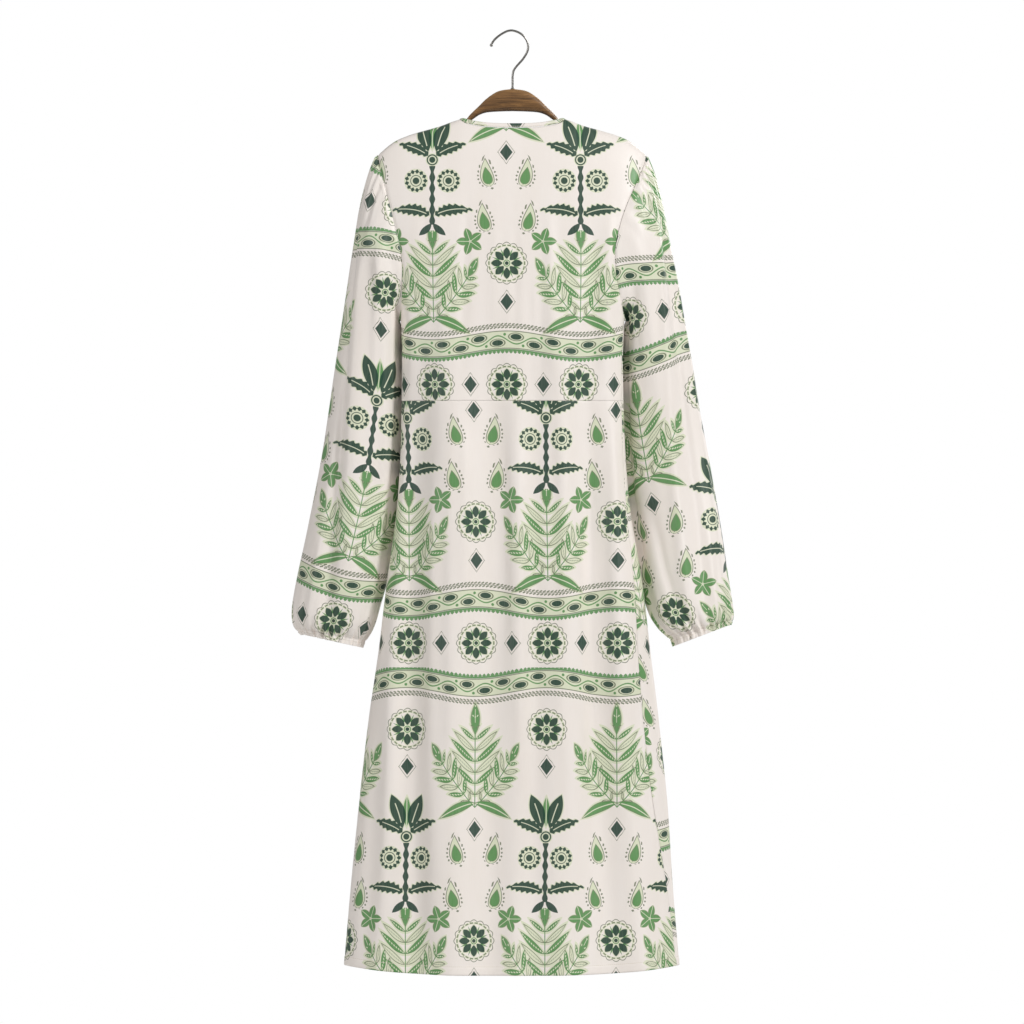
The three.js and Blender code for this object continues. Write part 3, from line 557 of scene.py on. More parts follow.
def cloth_grid(name, points, cloth_map, stitch, along, outward, ring=False):
    """A sheet of cloth over a grid of points (rows down, columns across), thickened inwards. cloth_map is
    its own width and length in metres, stitch the distance from a row of stitches, along the way on it."""
    rows, columns = points.shape[0] - 1, points.shape[1] - 1
    build = bmesh.new()
    bmesh.ops.create_grid(build, x_segments=columns, y_segments=rows, size=1)
    build.verts.ensure_lookup_table()
    column = [round((v.co.x + 1) / 2 * columns) for v in build.verts]
    row = [round((1 - v.co.y) / 2 * rows) for v in build.verts]
    stitch_layer = build.verts.layers.float.new("stitch")
    along_layer = build.verts.layers.float.new("along")
    for v, r, c in zip(build.verts, row, column):
        v.co = Vector(points[r, c]) * MM
        v[stitch_layer] = stitch[r, c] * MM
        v[along_layer] = along[r, c] * MM
    map_layer = build.loops.layers.uv.new("cloth")
    for face in build.faces:
        for corner in face.loops:
            i = corner.vert.index
            corner[map_layer].uv = cloth_map[row[i], column[i]]
    build.faces.ensure_lookup_table()
    build.normal_update()
    middle = build.faces[len(build.faces) // 2 + columns // 2]
    if middle.normal.dot(Vector(outward)) < 0:
        bmesh.ops.reverse_faces(build, faces=build.faces)
    if ring:
        bmesh.ops.remove_doubles(build, verts=build.verts, dist=2e-6)
    piece = finished(name, build, satin)
    piece.data.materials.append(satin_inside)
    wall = piece.modifiers.new("wall", "SOLIDIFY")
    wall.thickness = CLOTH_THICKNESS * MM
    wall.offset = -1
    wall.material_offset = 1
    wall.material_offset_rim = 0
    return piece


WAVE_DEPTH = 0.5
PUCKER_DEPTH, PUCKER_REACH = 0.4, 12
SEAM_ROLL = 2.6
SEAM_SINK = 0.7
WAIST_SINK = 0.07
NO_STITCHES = 1000.0


def panel(name, angle, z, face, lift=0.0, map_start=(0.0, 0.0), map_angle=0.0, stitch=None, along=None,
          seams=(1, 1, 1, 1)):
    """A cloth panel on the body from grids of angles and heights. lift is its rise off the body. seams tells
    how far its top, bottom, first and last edges roll down into a seam: 1 in full, 0 where there is none."""
    way = body_outward(angle, z)
    points = body_point(angle, z)
    lift = lift + crease_lift(angle, points[..., 0], z)
    lift = lift + WAVE_DEPTH * uneven(points, 3.1 * face, 26, 120) * smooth(SHOULDER_TIP, UNDERARM, z)
    around = girth(angle, z) - girth(np.full_like(z, map_angle), z)
    down_way, across_way = way_along(points, 0), way_along(points, 1)
    edges_off = (down_way, down_way[-1:] - down_way, across_way, across_way[:, -1:] - across_way)
    for sewn, off in zip(seams, edges_off):
        if sewn:
            lift = lift - SEAM_SINK * sewn * np.exp(-(off / SEAM_ROLL) ** 2)
            lift = lift + PUCKER_DEPTH * uneven(points, 9.0, 8, 12) * np.exp(-off / PUCKER_REACH)
    points = points + way * lift[..., None]
    points[..., 1] += face * SEAM_GAP / 2
    cloth_map = np.stack([around * MM + map_start[0], -z * MM + map_start[1]], axis=-1)
    stitch = np.full_like(z, NO_STITCHES) if stitch is None else stitch
    return cloth_grid(name, points, cloth_map, stitch, around if along is None else along, (0, face, 0))


def neck_edge(face, v):
    """The neck edge, from the neck corner (0) to the middle back or the front edge (1)."""
    if face < 0:
        return NECK_HALF * (1 - v), NECK_HEIGHT - BACK_NECK_DROP * (1 - (1 - v) ** 3)
    drop = FRONT_NECK_DROP * (1 - (1 - v) ** FRONT_NECK_CURVE)
    return mixed(NECK_HALF, -OVERLAP, v), NECK_HEIGHT - drop


def neck_offset(face, v, width):
    """The same edge moved out by a width, so that it leaves the corner along the shoulder ridge."""
    v = np.asarray(v, float)
    x, z = neck_edge(face, v)
    bx, bz = neck_edge(face, np.maximum(v - 0.01, 0))
    ax, az = neck_edge(face, np.minimum(v + 0.01, 1))
    square = unit(np.stack([bz - az, ax - bx], axis=-1))
    ridge = unit(np.array([1.0, float(ridge_height(NECK_HALF + 5) - ridge_height(NECK_HALF + 4))]))
    away = unit(mixed(ridge, square, smooth(0, 0.12, v)[..., None]))
    if face > 0:
        straight = np.stack([np.zeros_like(v), -1 / square[..., 0]], axis=-1)
        away = mixed(away, straight, smooth(0.7, 1, v)[..., None])
    x = x + away[..., 0] * width
    return x, np.where(v == 0, ridge_height(x), z + away[..., 1] * width)


def bodice_top(side, face, shoulder_count=46, neck_count=34):
    """Angle, height and x of half a bodice panel's top, from the shoulder tip to the middle."""
    width = BAND_WIDTH + SEAM_GAP / 2
    corner_x, corner_z = (float(value) for value in neck_offset(face, 0.0, width))
    corner_angle = float(angle_at(face, side * corner_x, corner_z, side))
    t = closer_at_ends(shoulder_count)[:-1]
    angle = mixed(side * 90.0, corner_angle, t)
    z = np.full_like(angle, SHOULDER_TIP)
    for _ in range(8):
        z = np.where(t > 0, ridge_height(body_point(angle, z)[..., 0]), SHOULDER_TIP)
    x = body_point(angle, z)[..., 0]
    v = np.linspace(0, 1, neck_count + 1) ** 1.5
    neck_x, neck_z = neck_offset(face, v, width)
    neck_angle = angle_at(face, side * neck_x, neck_z, side)
    angle = np.concatenate([angle, neck_angle])
    return angle, np.concatenate([z, neck_z]), np.concatenate([x, side * neck_x])


def bodice_angle(top_angle, top_x, face, side, z, spread):
    middle = 0 if face < 0 else side * 180
    inward = 1 - np.abs(top_angle - middle) / 90
    angle = mixed(spread, angle_at(face, top_x, z, side), smooth(0.2, 0.8, inward))
    ordered = side * np.sort(side * angle, axis=1)
    return np.clip(ordered, *np.sort([spread[:, :1], spread[:, -1:]], axis=0))


# The cloth's print. Each value below varies over the cloth, and arithmetic on it adds nodes to the material.
class Value:
    tree = None

    def __init__(self, socket):
        self.socket = socket

    @staticmethod
    def of(kind, *terms, held=False):
        node = Value.tree.nodes.new("ShaderNodeMath")
        node.operation = kind
        node.use_clamp = held
        for place, term in zip(node.inputs, terms):
            if isinstance(term, Value):
                Value.tree.links.new(term.socket, place)
            else:
                place.default_value = term
        return Value(node.outputs[0])

    def __add__(self, other):
        return Value.of("ADD", self, other)

    __radd__ = __add__

    def __sub__(self, other):
        return Value.of("SUBTRACT", self, other)

    def __rsub__(self, other):
        return Value.of("SUBTRACT", other, self)

    def __mul__(self, other):
        return Value.of("MULTIPLY", self, other)

    __rmul__ = __mul__

    def __abs__(self):
        return Value.of("ABSOLUTE", self)


def plus(a, times, b):
    return Value.of("MULTIPLY_ADD", a, times, b)


def most(*values):
    return reduce(lambda a, b: Value.of("MAXIMUM", a, b), values)


def least(*values):
    return reduce(lambda a, b: Value.of("MINIMUM", a, b), values)


def every(value, pitch):
    """Distance from the nearest of a row of places."""
    return Value.of("WRAP", value, pitch / 2, -pitch / 2)


def over(value, limit):
    return Value.of("GREATER_THAN", value, limit)


def turned(x, y, degrees):
    """The place as seen by a motif that leans over to the right by an angle."""
    c, s = math.cos(math.radians(degrees)), math.sin(math.radians(degrees))
    return plus(x, c, y * -s), plus(x, s, y * c)


def distance(x, y):
    return Value.of("SQRT", plus(x, x, y * y))


def inked(shape, soft=0.00035):
    """How much ink lies on the cloth: all of it inside the shape (below 0) and none outside."""
    return Value.of("MULTIPLY_ADD", shape, -1 / soft, 0.5, held=True)


def leaf(x, y, length, width):
    """A pointed leaf from 0 up to its length."""
    t = y * (1 / length)
    return plus(t - t * t, -4 * width, abs(x))


def toothed(x, y, length, width, teeth, deep):
    """The same leaf with a wavy edge."""
    return plus(Value.of("SINE", y * (2 * math.pi * teeth / length)), deep, leaf(x, y, length, width))


def bent(x, y, amount):
    return plus(y * y, amount, x)


# The print's motifs are drawn with distances: below 0 inside a shape and above 0 outside, in metres on the
# cloth, with turns in degrees. Each motif adds its shapes to four lists, one for each ink.
REPEAT_HALF = 0.102
REPEAT_DOWN = 0.575
LINE_HALF = 0.0004
STRIP_TOP = 0.46


def outline(shape, half=LINE_HALF):
    """A fine line just outside the edge of a shape."""
    return abs(shape - 0.0003) - half


def stroke(x, y, half, middle, reach):
    """A straight line down the middle of a motif."""
    return most(x - half, abs(y - middle) - reach)


def rounds(angle, count):
    """The turn from the nearest of a number of places round a circle."""
    return every(angle, 2 * math.pi / count)


def branch(inks, x, y, height, longest, fullest, pitch, slope, curl):
    """A stem with paired leaves, every second pair beaded and the others only outlined."""
    lime, sage, green, _ = inks
    side = abs(x)
    slant = plus(side * side, -curl, plus(side, -slope, y))
    own = every(slant, pitch)
    root = slant - own
    share = root * (1 / height)
    swell = most((share - share * share) * 3.4, 0.001)
    reach = Value.of("DIVIDE", side * (math.hypot(1, slope) / longest), swell)
    across = abs(own) * (1 / math.hypot(1, slope))
    half_leaf = (reach - reach * reach) * swell * (4 * fullest)
    blade = most(across - half_leaf, abs(share - 0.5) - 0.52)
    odd = over(Value.of("WRAP", root + pitch / 2, 2 * pitch, 0.0), pitch)
    beads = abs(every(side, 0.0031)) + across - 0.00125
    stem = stroke(side, y, 0.00065, height * 0.5, height * 0.52)
    tip_y = y - height * 0.88
    tip = leaf(side, tip_y, longest * 0.85, fullest)
    tip_vein = stroke(side, tip_y, LINE_HALF, longest * 0.42, longest * 0.28)
    full = least(blade + odd, tip)
    green.append(most(full + 0.0002, 0 - beads, 0 - tip_vein))
    green.append(stem)
    edge = least(abs(blade + LINE_HALF) - 0.0005, outline(tip))
    rib = most(across - 0.0003, blade + 0.0008)
    sage.append(least(edge, most(least(beads + 0.0002, rib), blade, 1 - odd)))
    lime.append(least(blade, tip) - 0.0026)


def sprigs(inks, fold, down):
    """Leafy sprigs with two side stems and a pair of broad leaves at the foot."""
    lime, sage, green, _ = inks
    lower = over(down, 0.330)
    x = abs(fold - lower * REPEAT_HALF)
    y = plus(lower, 0.264, 0.190 - down)
    branch(inks, x, y, 0.112, 0.049, 0.0060, 0.0152, 0.62, 8.0)
    side_x, side_y = turned(x, y + 0.002, 45)
    branch(inks, bent(side_x, side_y, 1.6), side_y, 0.090, 0.031, 0.0050, 0.0126, 0.7, 8.0)
    foot_x, foot_y = turned(x, y - 0.004, 98)
    foot_x = bent(foot_x, foot_y, -5.0)
    foot = leaf(foot_x, foot_y, 0.052, 0.0062)
    green.append(most(foot, 0.0007 - abs(foot_x)))
    sage.append(outline(foot))
    lime.append(leaf(foot_x, foot_y, 0.056, 0.0090))


def tulips(inks, fold, down):
    """A cup of petals with a ball below it, scrolls, and toothed leaves on a wavy stem."""
    lime, _, green, teal = inks
    x, y = REPEAT_HALF - fold, 0.328 - down
    cup_x, cup_y = turned(x - 0.0055, y - 0.107, 13)
    cup_x = bent(cup_x, cup_y, -2.2)
    cup = leaf(cup_x, cup_y, 0.049, 0.0098)
    cup_seam = stroke(abs(cup_x), cup_y, 0.0007, 0.022, 0.014)
    wing_x, wing_y = turned(x - 0.004, y - 0.100, 50)
    wing_x = bent(wing_x, wing_y, -7.0)
    wing = toothed(wing_x, wing_y, 0.044, 0.0076, 6, 0.0012)
    wing_seam = stroke(abs(wing_x), wing_y, 0.00055, 0.021, 0.013)
    heart = leaf(x, y - 0.109, 0.042, 0.0052)
    ball_out = distance(x, y - 0.0955)
    ball = least(ball_out - 0.0042, abs(ball_out - 0.0068) - 0.0009)
    wavy = plus(Value.of("SINE", y * 420), 0.0010, x - 0.0031)
    stalk = most(wavy, abs(y - 0.0465) - 0.0405)
    blade_x, blade_y = turned(x - 0.002, y - 0.018, 58)
    blade_x = bent(blade_x, blade_y, -8.5)
    blade = toothed(blade_x, blade_y, 0.050, 0.0078, 7, 0.0014)
    blade_seam = stroke(abs(blade_x), blade_y, 0.0006, 0.025, 0.018)
    scroll_x, scroll_y = x - 0.0225, y - 0.0665
    scroll_out = distance(scroll_x, scroll_y)
    scroll_turn = Value.of("ARCTAN2", scroll_y, scroll_x)
    beaded = plus(Value.of("COSINE", scroll_turn * 13), 0.0013, abs(scroll_out - 0.0128) - 0.0017)
    scroll = least(beaded, scroll_out - 0.0046, abs(scroll_out - 0.0074) - 0.0005)
    tail_x, tail_y = turned(x - 0.001, y - 0.008, 142)
    tail = leaf(bent(tail_x, tail_y, 6.0), tail_y, 0.024, 0.0046)
    teal.append(most(least(cup, wing, blade), 0 - cup_seam, 0 - wing_seam, 0 - blade_seam))
    teal.append(least(ball, stalk, scroll, tail))
    green.append(most(heart, 0.0006 - x))
    lime.append(least(cup, wing, heart, blade, scroll_out - 0.0150, ball_out - 0.0075) - 0.0016)


def rosettes(inks, fold, down, strip, row_x):
    """Eight petals round an eye, with fine leaves between them and a broken ring outside. They also stand
    in a close row between the two borders."""
    lime, sage, green, teal = inks
    high = 1 - over(down, 0.2)
    x = abs(fold - high * REPEAT_HALF) * (1 - strip) + row_x * strip
    y = (down - 0.085) * high + (abs(down - 0.45825) - 0.08325) * (1 - high)
    out = distance(x, y)
    around = Value.of("ARCTAN2", y, x)
    petal_turn = abs(rounds(around, 8))
    reach = (out - 0.0052) * (1 / 0.0165)
    petal = plus(reach - reach * reach * reach, -0.0124, petal_turn * out)
    between = (math.pi / 8 - petal_turn) * out
    vane = most(plus(reach - reach * reach, -0.0034, between), 0.0108 - out)
    dashes = abs(rounds(around, 22)) * out - 0.0023
    ring = most(abs(out - 0.0245) - 0.0008, dashes)
    lobes = abs(plus(abs(Value.of("COSINE", around * 8)), -0.0026, out - 0.0262)) - 0.00055
    teal.append(least(most(petal, 0.0062 - out), out - 0.0026))
    green.append(least(vane, abs(out - 0.0042) - 0.0006))
    sage.append(least(ring, lobes))
    lime.append(least(petal - 0.0018, out - 0.0056, ring - 0.0009))


def drops(inks, fold, down):
    """A green seed in a pale drop, with a line and a row of dots round it."""
    lime, sage, green, _ = inks
    low = over(down, 0.283)
    x, y = turned(fold - plus(low, 0.004, 0.026), plus(low, 0.062, 0.258 - down), 18)
    x, y = x * 0.8, y * 0.8
    across = abs(bent(x, y, 9.0))

    def drop(length, start, width, foot):
        t = most(Value.of("MULTIPLY_ADD", y, 1 / length, start), 0.0)
        return most(plus(Value.of("SQRT", t) * (1 - t), -width, across), 0 - (y + foot))

    hull = drop(0.031, 0.30, 0.0184, 0.0094)
    seed = drop(0.0185, 0.36, 0.0124, 0.0066)
    dots = abs(rounds(Value.of("ARCTAN2", y - 0.002, x), 15)) * 0.011
    green.append(seed)
    sage.append(least(abs(hull) - 0.00045, dots + abs(hull - 0.0028) - 0.0014, outline(seed)))
    lime.append(hull)


def lozenges(inks, fold, down, strip, row_x):
    """Lozenges with a picked-out edge, and more of them in the row between the borders."""
    _, sage, _, teal = inks
    low = over(down, 0.18)
    x = abs(fold - (1 - low) * REPEAT_HALF) * (1 - strip) + (REPEAT_HALF / 2 - row_x) * strip
    y = (down - 0.136) * (1 - low) + (abs(down - 0.325) - 0.103) * (low - strip)
    y = y + (down - 0.5415) * strip
    gem = plus(abs(x), 0.80, abs(y) * 0.60) - 0.0070
    teal.append(gem)
    sage.append(most(abs(gem - 0.0024) - 0.0006, abs(every(x - y, 0.0023)) - 0.0007))


def blossoms(inks, fold, down):
    """Small five-petalled blossoms with a line down each petal."""
    lime, sage, green, _ = inks
    x, y = fold - 0.050, down - 0.345
    out = distance(x, y)
    off = abs(rounds(Value.of("ARCTAN2", y, x), 5)) * out
    t = out * (1 / 0.0185)
    bloom = plus(t - t * t * t, -0.0128, off)
    green.append(most(bloom, 0.0004 - off, 0.0019 - out))
    sage.append(outline(bloom))
    lime.append(bloom - 0.0016)


VINE_PITCH = 0.051


def borders(inks, u, fold, down):
    """A waved vine with a bud in each bend, between fine lines, a picot edge and rows of dots."""
    lime, sage, green, teal = inks
    sway = Value.of("COSINE", fold * (math.pi / REPEAT_HALF))
    border = plus(sway, 0.006, abs(down - 0.254) - 0.232)
    picot = plus(abs(every(u, 0.0058)), 0.9, abs(border - 0.0166) - 0.0026)
    rails = abs(abs(border) - 0.0118) - 0.0006
    rail_green = abs(border - 0.0142) - 0.0014
    bend = Value.of("SINE", u * (2 * math.pi / VINE_PITCH))
    vine = abs(plus(bend, -0.0055, border)) - 0.0009
    bud_x = every(u - VINE_PITCH / 4, VINE_PITCH / 2)
    bud_y = plus(border * Value.of("SIGN", bend), 1.0, 0.0042)
    bud = distance(bud_x * 0.52, bud_y) - 0.0040
    bud_line = abs(bud - 0.0013) - 0.0005
    curl = distance(bud_x - 0.0098, bud_y - 0.0115) - 0.0019
    string_off = abs(border + 0.0192)
    leaflet = abs(every(u + border * 0.9, 0.0052)) * 0.8 + abs(string_off - 0.0022) - 0.0018
    green.append(least(picot, rail_green, vine, curl))
    teal.append(bud)
    sage.append(least(rails, bud_line, leaflet, string_off - 0.0005))
    lime.append(abs(border) - 0.0118)


def print_inks(u, v):
    """Coverage of the print's four inks: pale lime, sage line, leaf green and deep teal. The design is a
    half-drop of leafy sprigs, tulips, rosettes, drops and lozenges between two borders of vine."""
    fold = Value.of("PINGPONG", u, REPEAT_HALF)
    down = Value.of("WRAP", v, REPEAT_DOWN, 0.0)
    strip = over(down, STRIP_TOP)
    row_x = Value.of("PINGPONG", u, REPEAT_HALF / 2)
    inks = ([], [], [], [])
    sprigs(inks, fold, down)
    tulips(inks, fold, down)
    rosettes(inks, fold, down, strip, row_x)
    drops(inks, fold, down)
    lozenges(inks, fold, down, strip, row_x)
    blossoms(inks, fold, down)
    borders(inks, u, fold, down)
    return [inked(least(*shapes)) for shapes in inks]


THREAD_HALF = 0.00032
STITCH_PITCH, STITCH_HALF = 0.0028, 0.0011
TWILL_PITCH = 0.0007


def printed_satin(name, strength):
    """The satin with the print's inks at a strength: 1 on the right side, less on the wrong side."""
    material, tree, shader = new_material(
        name, {"Sheen Weight": 0.06, "Sheen Roughness": 0.4, "Specular IOR Level": 0.42})
    Value.tree = tree
    cloth_map = add_node(tree, "UVMap", {}, uv_map="cloth").outputs["UV"]
    apart = add_node(tree, "SeparateXYZ", {"Vector": cloth_map})
    u, v = Value(apart.outputs["X"]), Value(apart.outputs["Y"])

    def stretched_noise(across, down, detail):
        stretch = add_node(tree, "Mapping", {"Scale": (across, down, 1), "Vector": cloth_map})
        return Value(noise_value(tree, stretch.outputs["Vector"], 1, detail))

    slub = stretched_noise(900, 42, 2)
    watery = stretched_noise(34, 5, 1)
    ground = plus(watery, 0.7, slub * 0.3)
    colour = blend(tree, ground.socket, srgb(240, 231, 222), srgb(250, 243, 238))
    inks = (srgb(219, 226, 193), srgb(94, 108, 76), srgb(84, 144, 78), srgb(35, 70, 56))
    for ink, coverage, full in zip(inks, print_inks(u, v), (0.78, 0.86, 0.92, 0.96)):
        patchy = plus(slub, 0.14, full * strength - 0.07)
        colour = blend(tree, (coverage * patchy).socket, colour, ink)
    layers = [add_node(tree, "Attribute", {}, attribute_name=name) for name in ("stitch", "along")]
    row, along = (Value(layer.outputs["Fac"]) for layer in layers)
    row = abs(row)
    thread = most(row - THREAD_HALF, abs(every(along, STITCH_PITCH)) - STITCH_HALF)
    threaded = inked(thread, 0.0002)
    colour = blend(tree, (threaded * 0.8).socket, colour, srgb(222, 212, 196))
    tree.links.new(colour, shader.inputs["Base Color"])
    tree.links.new(plus(slub, 0.14, 0.34).socket, shader.inputs["Roughness"])
    twill = Value.of("SINE", (u * 0.8 + v) * (2 * math.pi / TWILL_PITCH))
    dent = Value.of("EXPONENT", row * -1500)
    height = plus(slub, 0.00009, twill * 0.000006) + plus(threaded, 0.00016, dent * -0.00022)
    add_relief(tree, shader, height.socket, 0.8, 1.0)
    return material


satin = printed_satin("printed_satin", 1.0)
satin_inside = printed_satin("satin_wrong_side", 0.42)

BODICE_ROWS = 96
bodice_bottom = WAIST + 0.02
down_share = closer_at_ends(BODICE_ROWS)[:, None]
left_top, right_top = bodice_top(-1, -1), bodice_top(1, -1)
top_angle, top_z, top_x = (np.concatenate([a, b[::-1][1:]])[None, :] for a, b in zip(left_top, right_top))
side_z = mixed(SHOULDER_TIP, bodice_bottom, down_share)
back_z = mixed(top_z, bodice_bottom, down_share)
back_spread = mixed(seam_angle(-1, -1, side_z), seam_angle(1, -1, side_z), (top_angle + 90) / 180)
back_angle = bodice_angle(top_angle, top_x, -1, 1, back_z, back_spread)
bodice_back = panel("bodice_back_satin", back_angle, back_z, -1, map_start=(0.008, 0.055),
                    seams=(1, WAIST_SINK, 1, 1))
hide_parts("bodice_back")


# Bodice fronts: two panels that meet down the middle with the right over the left, their front edges turned
# in on themselves and stitched. The neck runs down to a V above the first button.
LAP_GAP = 0.8
FACING_STITCH = 27.0


def under_lap(side, x):
    """How far the left front is sunk beneath the right front."""
    if side > 0:
        return np.zeros_like(x)
    return -(WALL + LAP_GAP) * (1 - smooth(OVERLAP + 4, OVERLAP + 30, -x))


def front_edge(side, z):
    return angle_at(1, np.full_like(z, -side * OVERLAP), z, side)


for side, word in ((-1, "left"), (1, "right")):
    top_angle, top_z, top_x = (values[None, :] for values in bodice_top(side, 1))
    side_z = mixed(SHOULDER_TIP, bodice_bottom, down_share)
    edge_z = mixed(top_z[:, -1:], bodice_bottom, down_share)
    first = seam_angle(side, 1, side_z)
    last = front_edge(side, edge_z)
    across = (top_angle - top_angle[:, :1]) / (top_angle[:, -1:] - top_angle[:, :1])
    z = mixed(top_z, bodice_bottom, down_share)
    angle = bodice_angle(top_angle, top_x, 1, side, z, mixed(first, last, across))
    x = body_point(angle, z)[..., 0]
    edge_off = np.abs(x + side * OVERLAP)
    front = panel(
        f"bodice_front_{word}_satin", angle, z, 1, lift=under_lap(side, x), map_start=(0.066 * side, 0.21),
        map_angle=180 * side, stitch=edge_off - FACING_STITCH, along=z, seams=(1, WAIST_SINK, 1, 0))
    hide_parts(f"bodice_front_{word}")


# Neck band: a narrow bias strip in three pieces that binds the back neck and both slopes of the V, folded
# over the raw edge and stitched close to its lower side.
BAND_ROWS = 8
BAND_ROLL, BAND_SINK = 0.55, 0.35
BAND_STITCH = 1.3
BAND_WALL = 1.2
band_down = np.linspace(0, 1, BAND_ROWS + 1)[:, None]


def band_half(side, face, limit=1.0, count=44):
    v = np.linspace(0, 1, count + 1)[None, :] ** 1.5 * limit
    v, down = np.broadcast_arrays(v, band_down)
    x, z = neck_offset(face, v, down * (BAND_WIDTH - SEAM_GAP / 2))
    return angle_at(face, side * x, z, side), z, side * x


def band(name, angle, z, x, face, side, map_start):
    down = np.broadcast_to(band_down, z.shape)
    way = body_outward(angle, z)
    points = body_point(angle, z)
    roll = BAND_ROLL * np.sqrt(np.clip(1 - (2 * down - 1) ** 2, 0, 1)) - BAND_SINK
    lift = roll + (under_lap(side, x) if face > 0 else 0)
    points = points + way * np.broadcast_to(lift, z.shape)[..., None]
    points[..., 1] += face * SEAM_GAP / 2
    run = np.broadcast_to(way_along(points[BAND_ROWS // 2], 0), z.shape)
    strip_map = np.stack([run * MM + map_start[0], down * BAND_WIDTH * MM + map_start[1]], axis=-1)
    strip = cloth_grid(name, points, strip_map, (1 - down) * BAND_WIDTH - BAND_STITCH, run, (0, face, 0))
    strip.modifiers["wall"].thickness = BAND_WALL * MM
    return strip


half_left, half_right = band_half(-1, -1), band_half(1, -1)
angle, z, x = (np.concatenate([a, b[:, ::-1][:, 1:]], axis=1) for a, b in zip(half_left, half_right))
back_band = band("neck_band_back_satin", angle, z, x, -1, 0, (0.02, 0.135))
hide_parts("neck_band_back")
for side, word, limit, length in ((-1, "left", 0.8, 0.17), (1, "right", 1.0, 0.21)):
    angle, z, x = band_half(side, 1, limit)
    strip = band(f"neck_band_{word}_satin", angle, z, x, 1, side, (0.30 * side, 0.0))
    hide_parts(f"neck_band_{word}")


# Skirt: a plain back panel and two fronts, flared from the waist seam to a narrow turned hem. The right
# front wraps a little round to the back, so its side seam shows there, and it buttons over the left one.
SKIRT_ROWS = 190
SKIRT_BACK_COLUMNS = 130
SKIRT_FRONT_COLUMNS = 72
HEM_STITCH = 12.0
HEM_TURN = 0.45
HEM_CORNER_RISE = 13.0
FRONT_HEM_RISE = 7.0
skirt_top = WAIST - 0.02
skirt_share = closer_at_ends(SKIRT_ROWS)[:, None]


def hem_height(angle):
    corner = np.abs(np.sin(np.radians(angle))) ** 3
    front_rise = np.where(np.cos(np.radians(angle)) < 0, FRONT_HEM_RISE * (1 - corner), 0)
    return HEM + front_rise + HEM_CORNER_RISE * corner


def skirt_panel(name, face, first, last, columns, side, map_start, map_angle, seams):
    across = closer_at_ends(columns)[None, :]
    z = np.broadcast_to(skirt_top, (SKIRT_ROWS + 1, columns + 1)).astype(float)
    for _ in range(5):
        angle = mixed(first(z), last(z), across)
        z = mixed(skirt_top, hem_height(angle), skirt_share)
    x = body_point(angle, z)[..., 0]
    lift = under_lap(side, x) if side else np.zeros_like(x)
    hem_off = z - hem_height(angle)
    turned_hem = HEM_TURN * (1 - smooth(HEM_STITCH - 1.2, HEM_STITCH + 0.8, hem_off))
    rounded_edge = -0.5 * np.exp(-(hem_off / 1.2) ** 2)
    lift = lift + turned_hem + rounded_edge
    if side:
        edge_off = np.abs(x + side * OVERLAP)
        edge_row, hem_row = edge_off - FACING_STITCH, hem_off - HEM_STITCH
        on_hem = hem_row < edge_row
        stitch, along = np.where(on_hem, hem_row, edge_row), np.where(on_hem, x, z)
    else:
        stitch, along = hem_off - HEM_STITCH, x
    return panel(name, angle, z, face, lift=lift, map_start=map_start, map_angle=map_angle, stitch=stitch,
                 along=along, seams=seams)


left_seam, right_seam = (partial(seam_angle, side, -1) for side in (-1, 1))
under_edge, over_edge = (partial(front_edge, side) for side in (-1, 1))
skirt_back = skirt_panel("skirt_back_satin", -1, left_seam, right_seam, SKIRT_BACK_COLUMNS, 0, (0.055, -0.30),
                         0, (WAIST_SINK, 0, 1, 1))
skirt_right = skirt_panel("skirt_front_right_satin", 1, right_seam, over_edge, SKIRT_FRONT_COLUMNS, 1,
                          (0.03, -0.05), 180, (WAIST_SINK, 0, 1, 0))
skirt_left = skirt_panel("skirt_front_left_satin", 1, under_edge, left_seam, SKIRT_FRONT_COLUMNS, -1,
                         (0.03, -0.05), -180, (WAIST_SINK, 0, 0, 1))
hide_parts("skirt_back")
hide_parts("skirt_front_right")
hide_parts("skirt_front_left")


# Sleeves: long and full, each set into its armhole with a few gathers over the shoulder. The end is turned
# up over a run of elastic that draws the cloth into close gathers above a small frill.
# Outlines by ring number from the shoulder down: outer edge x and z, inner edge x and z.
left_sleeve = [
    (1, -196, -184, -155.8, -396), (2, -205, -212, -156.6, -400), (3, -213, -252, -154.4, -412),
    (4, -222, -310, -153.5, -438), (5, -231, -372, -151.5, -472), (6, -242, -445, -150.5, -515),
    (7, -254, -525, -151, -575), (8, -266, -602, -155, -635), (9, -282, -680, -163, -695),
    (10, -295, -742, -172, -752), (11, -303, -790, -184, -799), (12, -301.5, -813, -193, -822),
    (13, -294, -824, -204, -839), (14, -290, -830, -207, -848.5),
]
right_sleeve = [
    (1, 192, -184, 155.8, -396), (2, 202, -212, 156.8, -400), (3, 211, -256, 154.8, -412),
    (4, 221, -312, 154.5, -438), (5, 233, -376, 152.5, -472), (6, 246, -447, 152, -515),
    (7, 259, -525, 153.5, -575), (8, 273, -602, 158, -635), (9, 287, -680, 168, -695),
    (10, 296, -742, 175, -752), (11, 302, -782, 186, -797), (12, 303, -801, 200, -820),
    (13, 300, -811, 218, -836), (14, 299, -817, 222, -846.5),
]
# By ring number, for both: depth, how far forward it hangs, and how much of the armhole's own shape it has
# left behind.
sleeve_hang = [
    (1, 40, 2, 0.3), (2, 42, 5, 0.7), (3, 42, 10, 1), (4, 41, 14, 1), (5, 40, 17, 1), (6, 38, 18, 1),
    (7, 36, 18, 1), (8, 35, 18, 1), (9, 36, 16, 1), (10, 38, 14, 1), (11, 37, 12, 1), (12, 33, 11, 1),
    (13, 25, 10, 1), (14, 24, 10, 1),
]
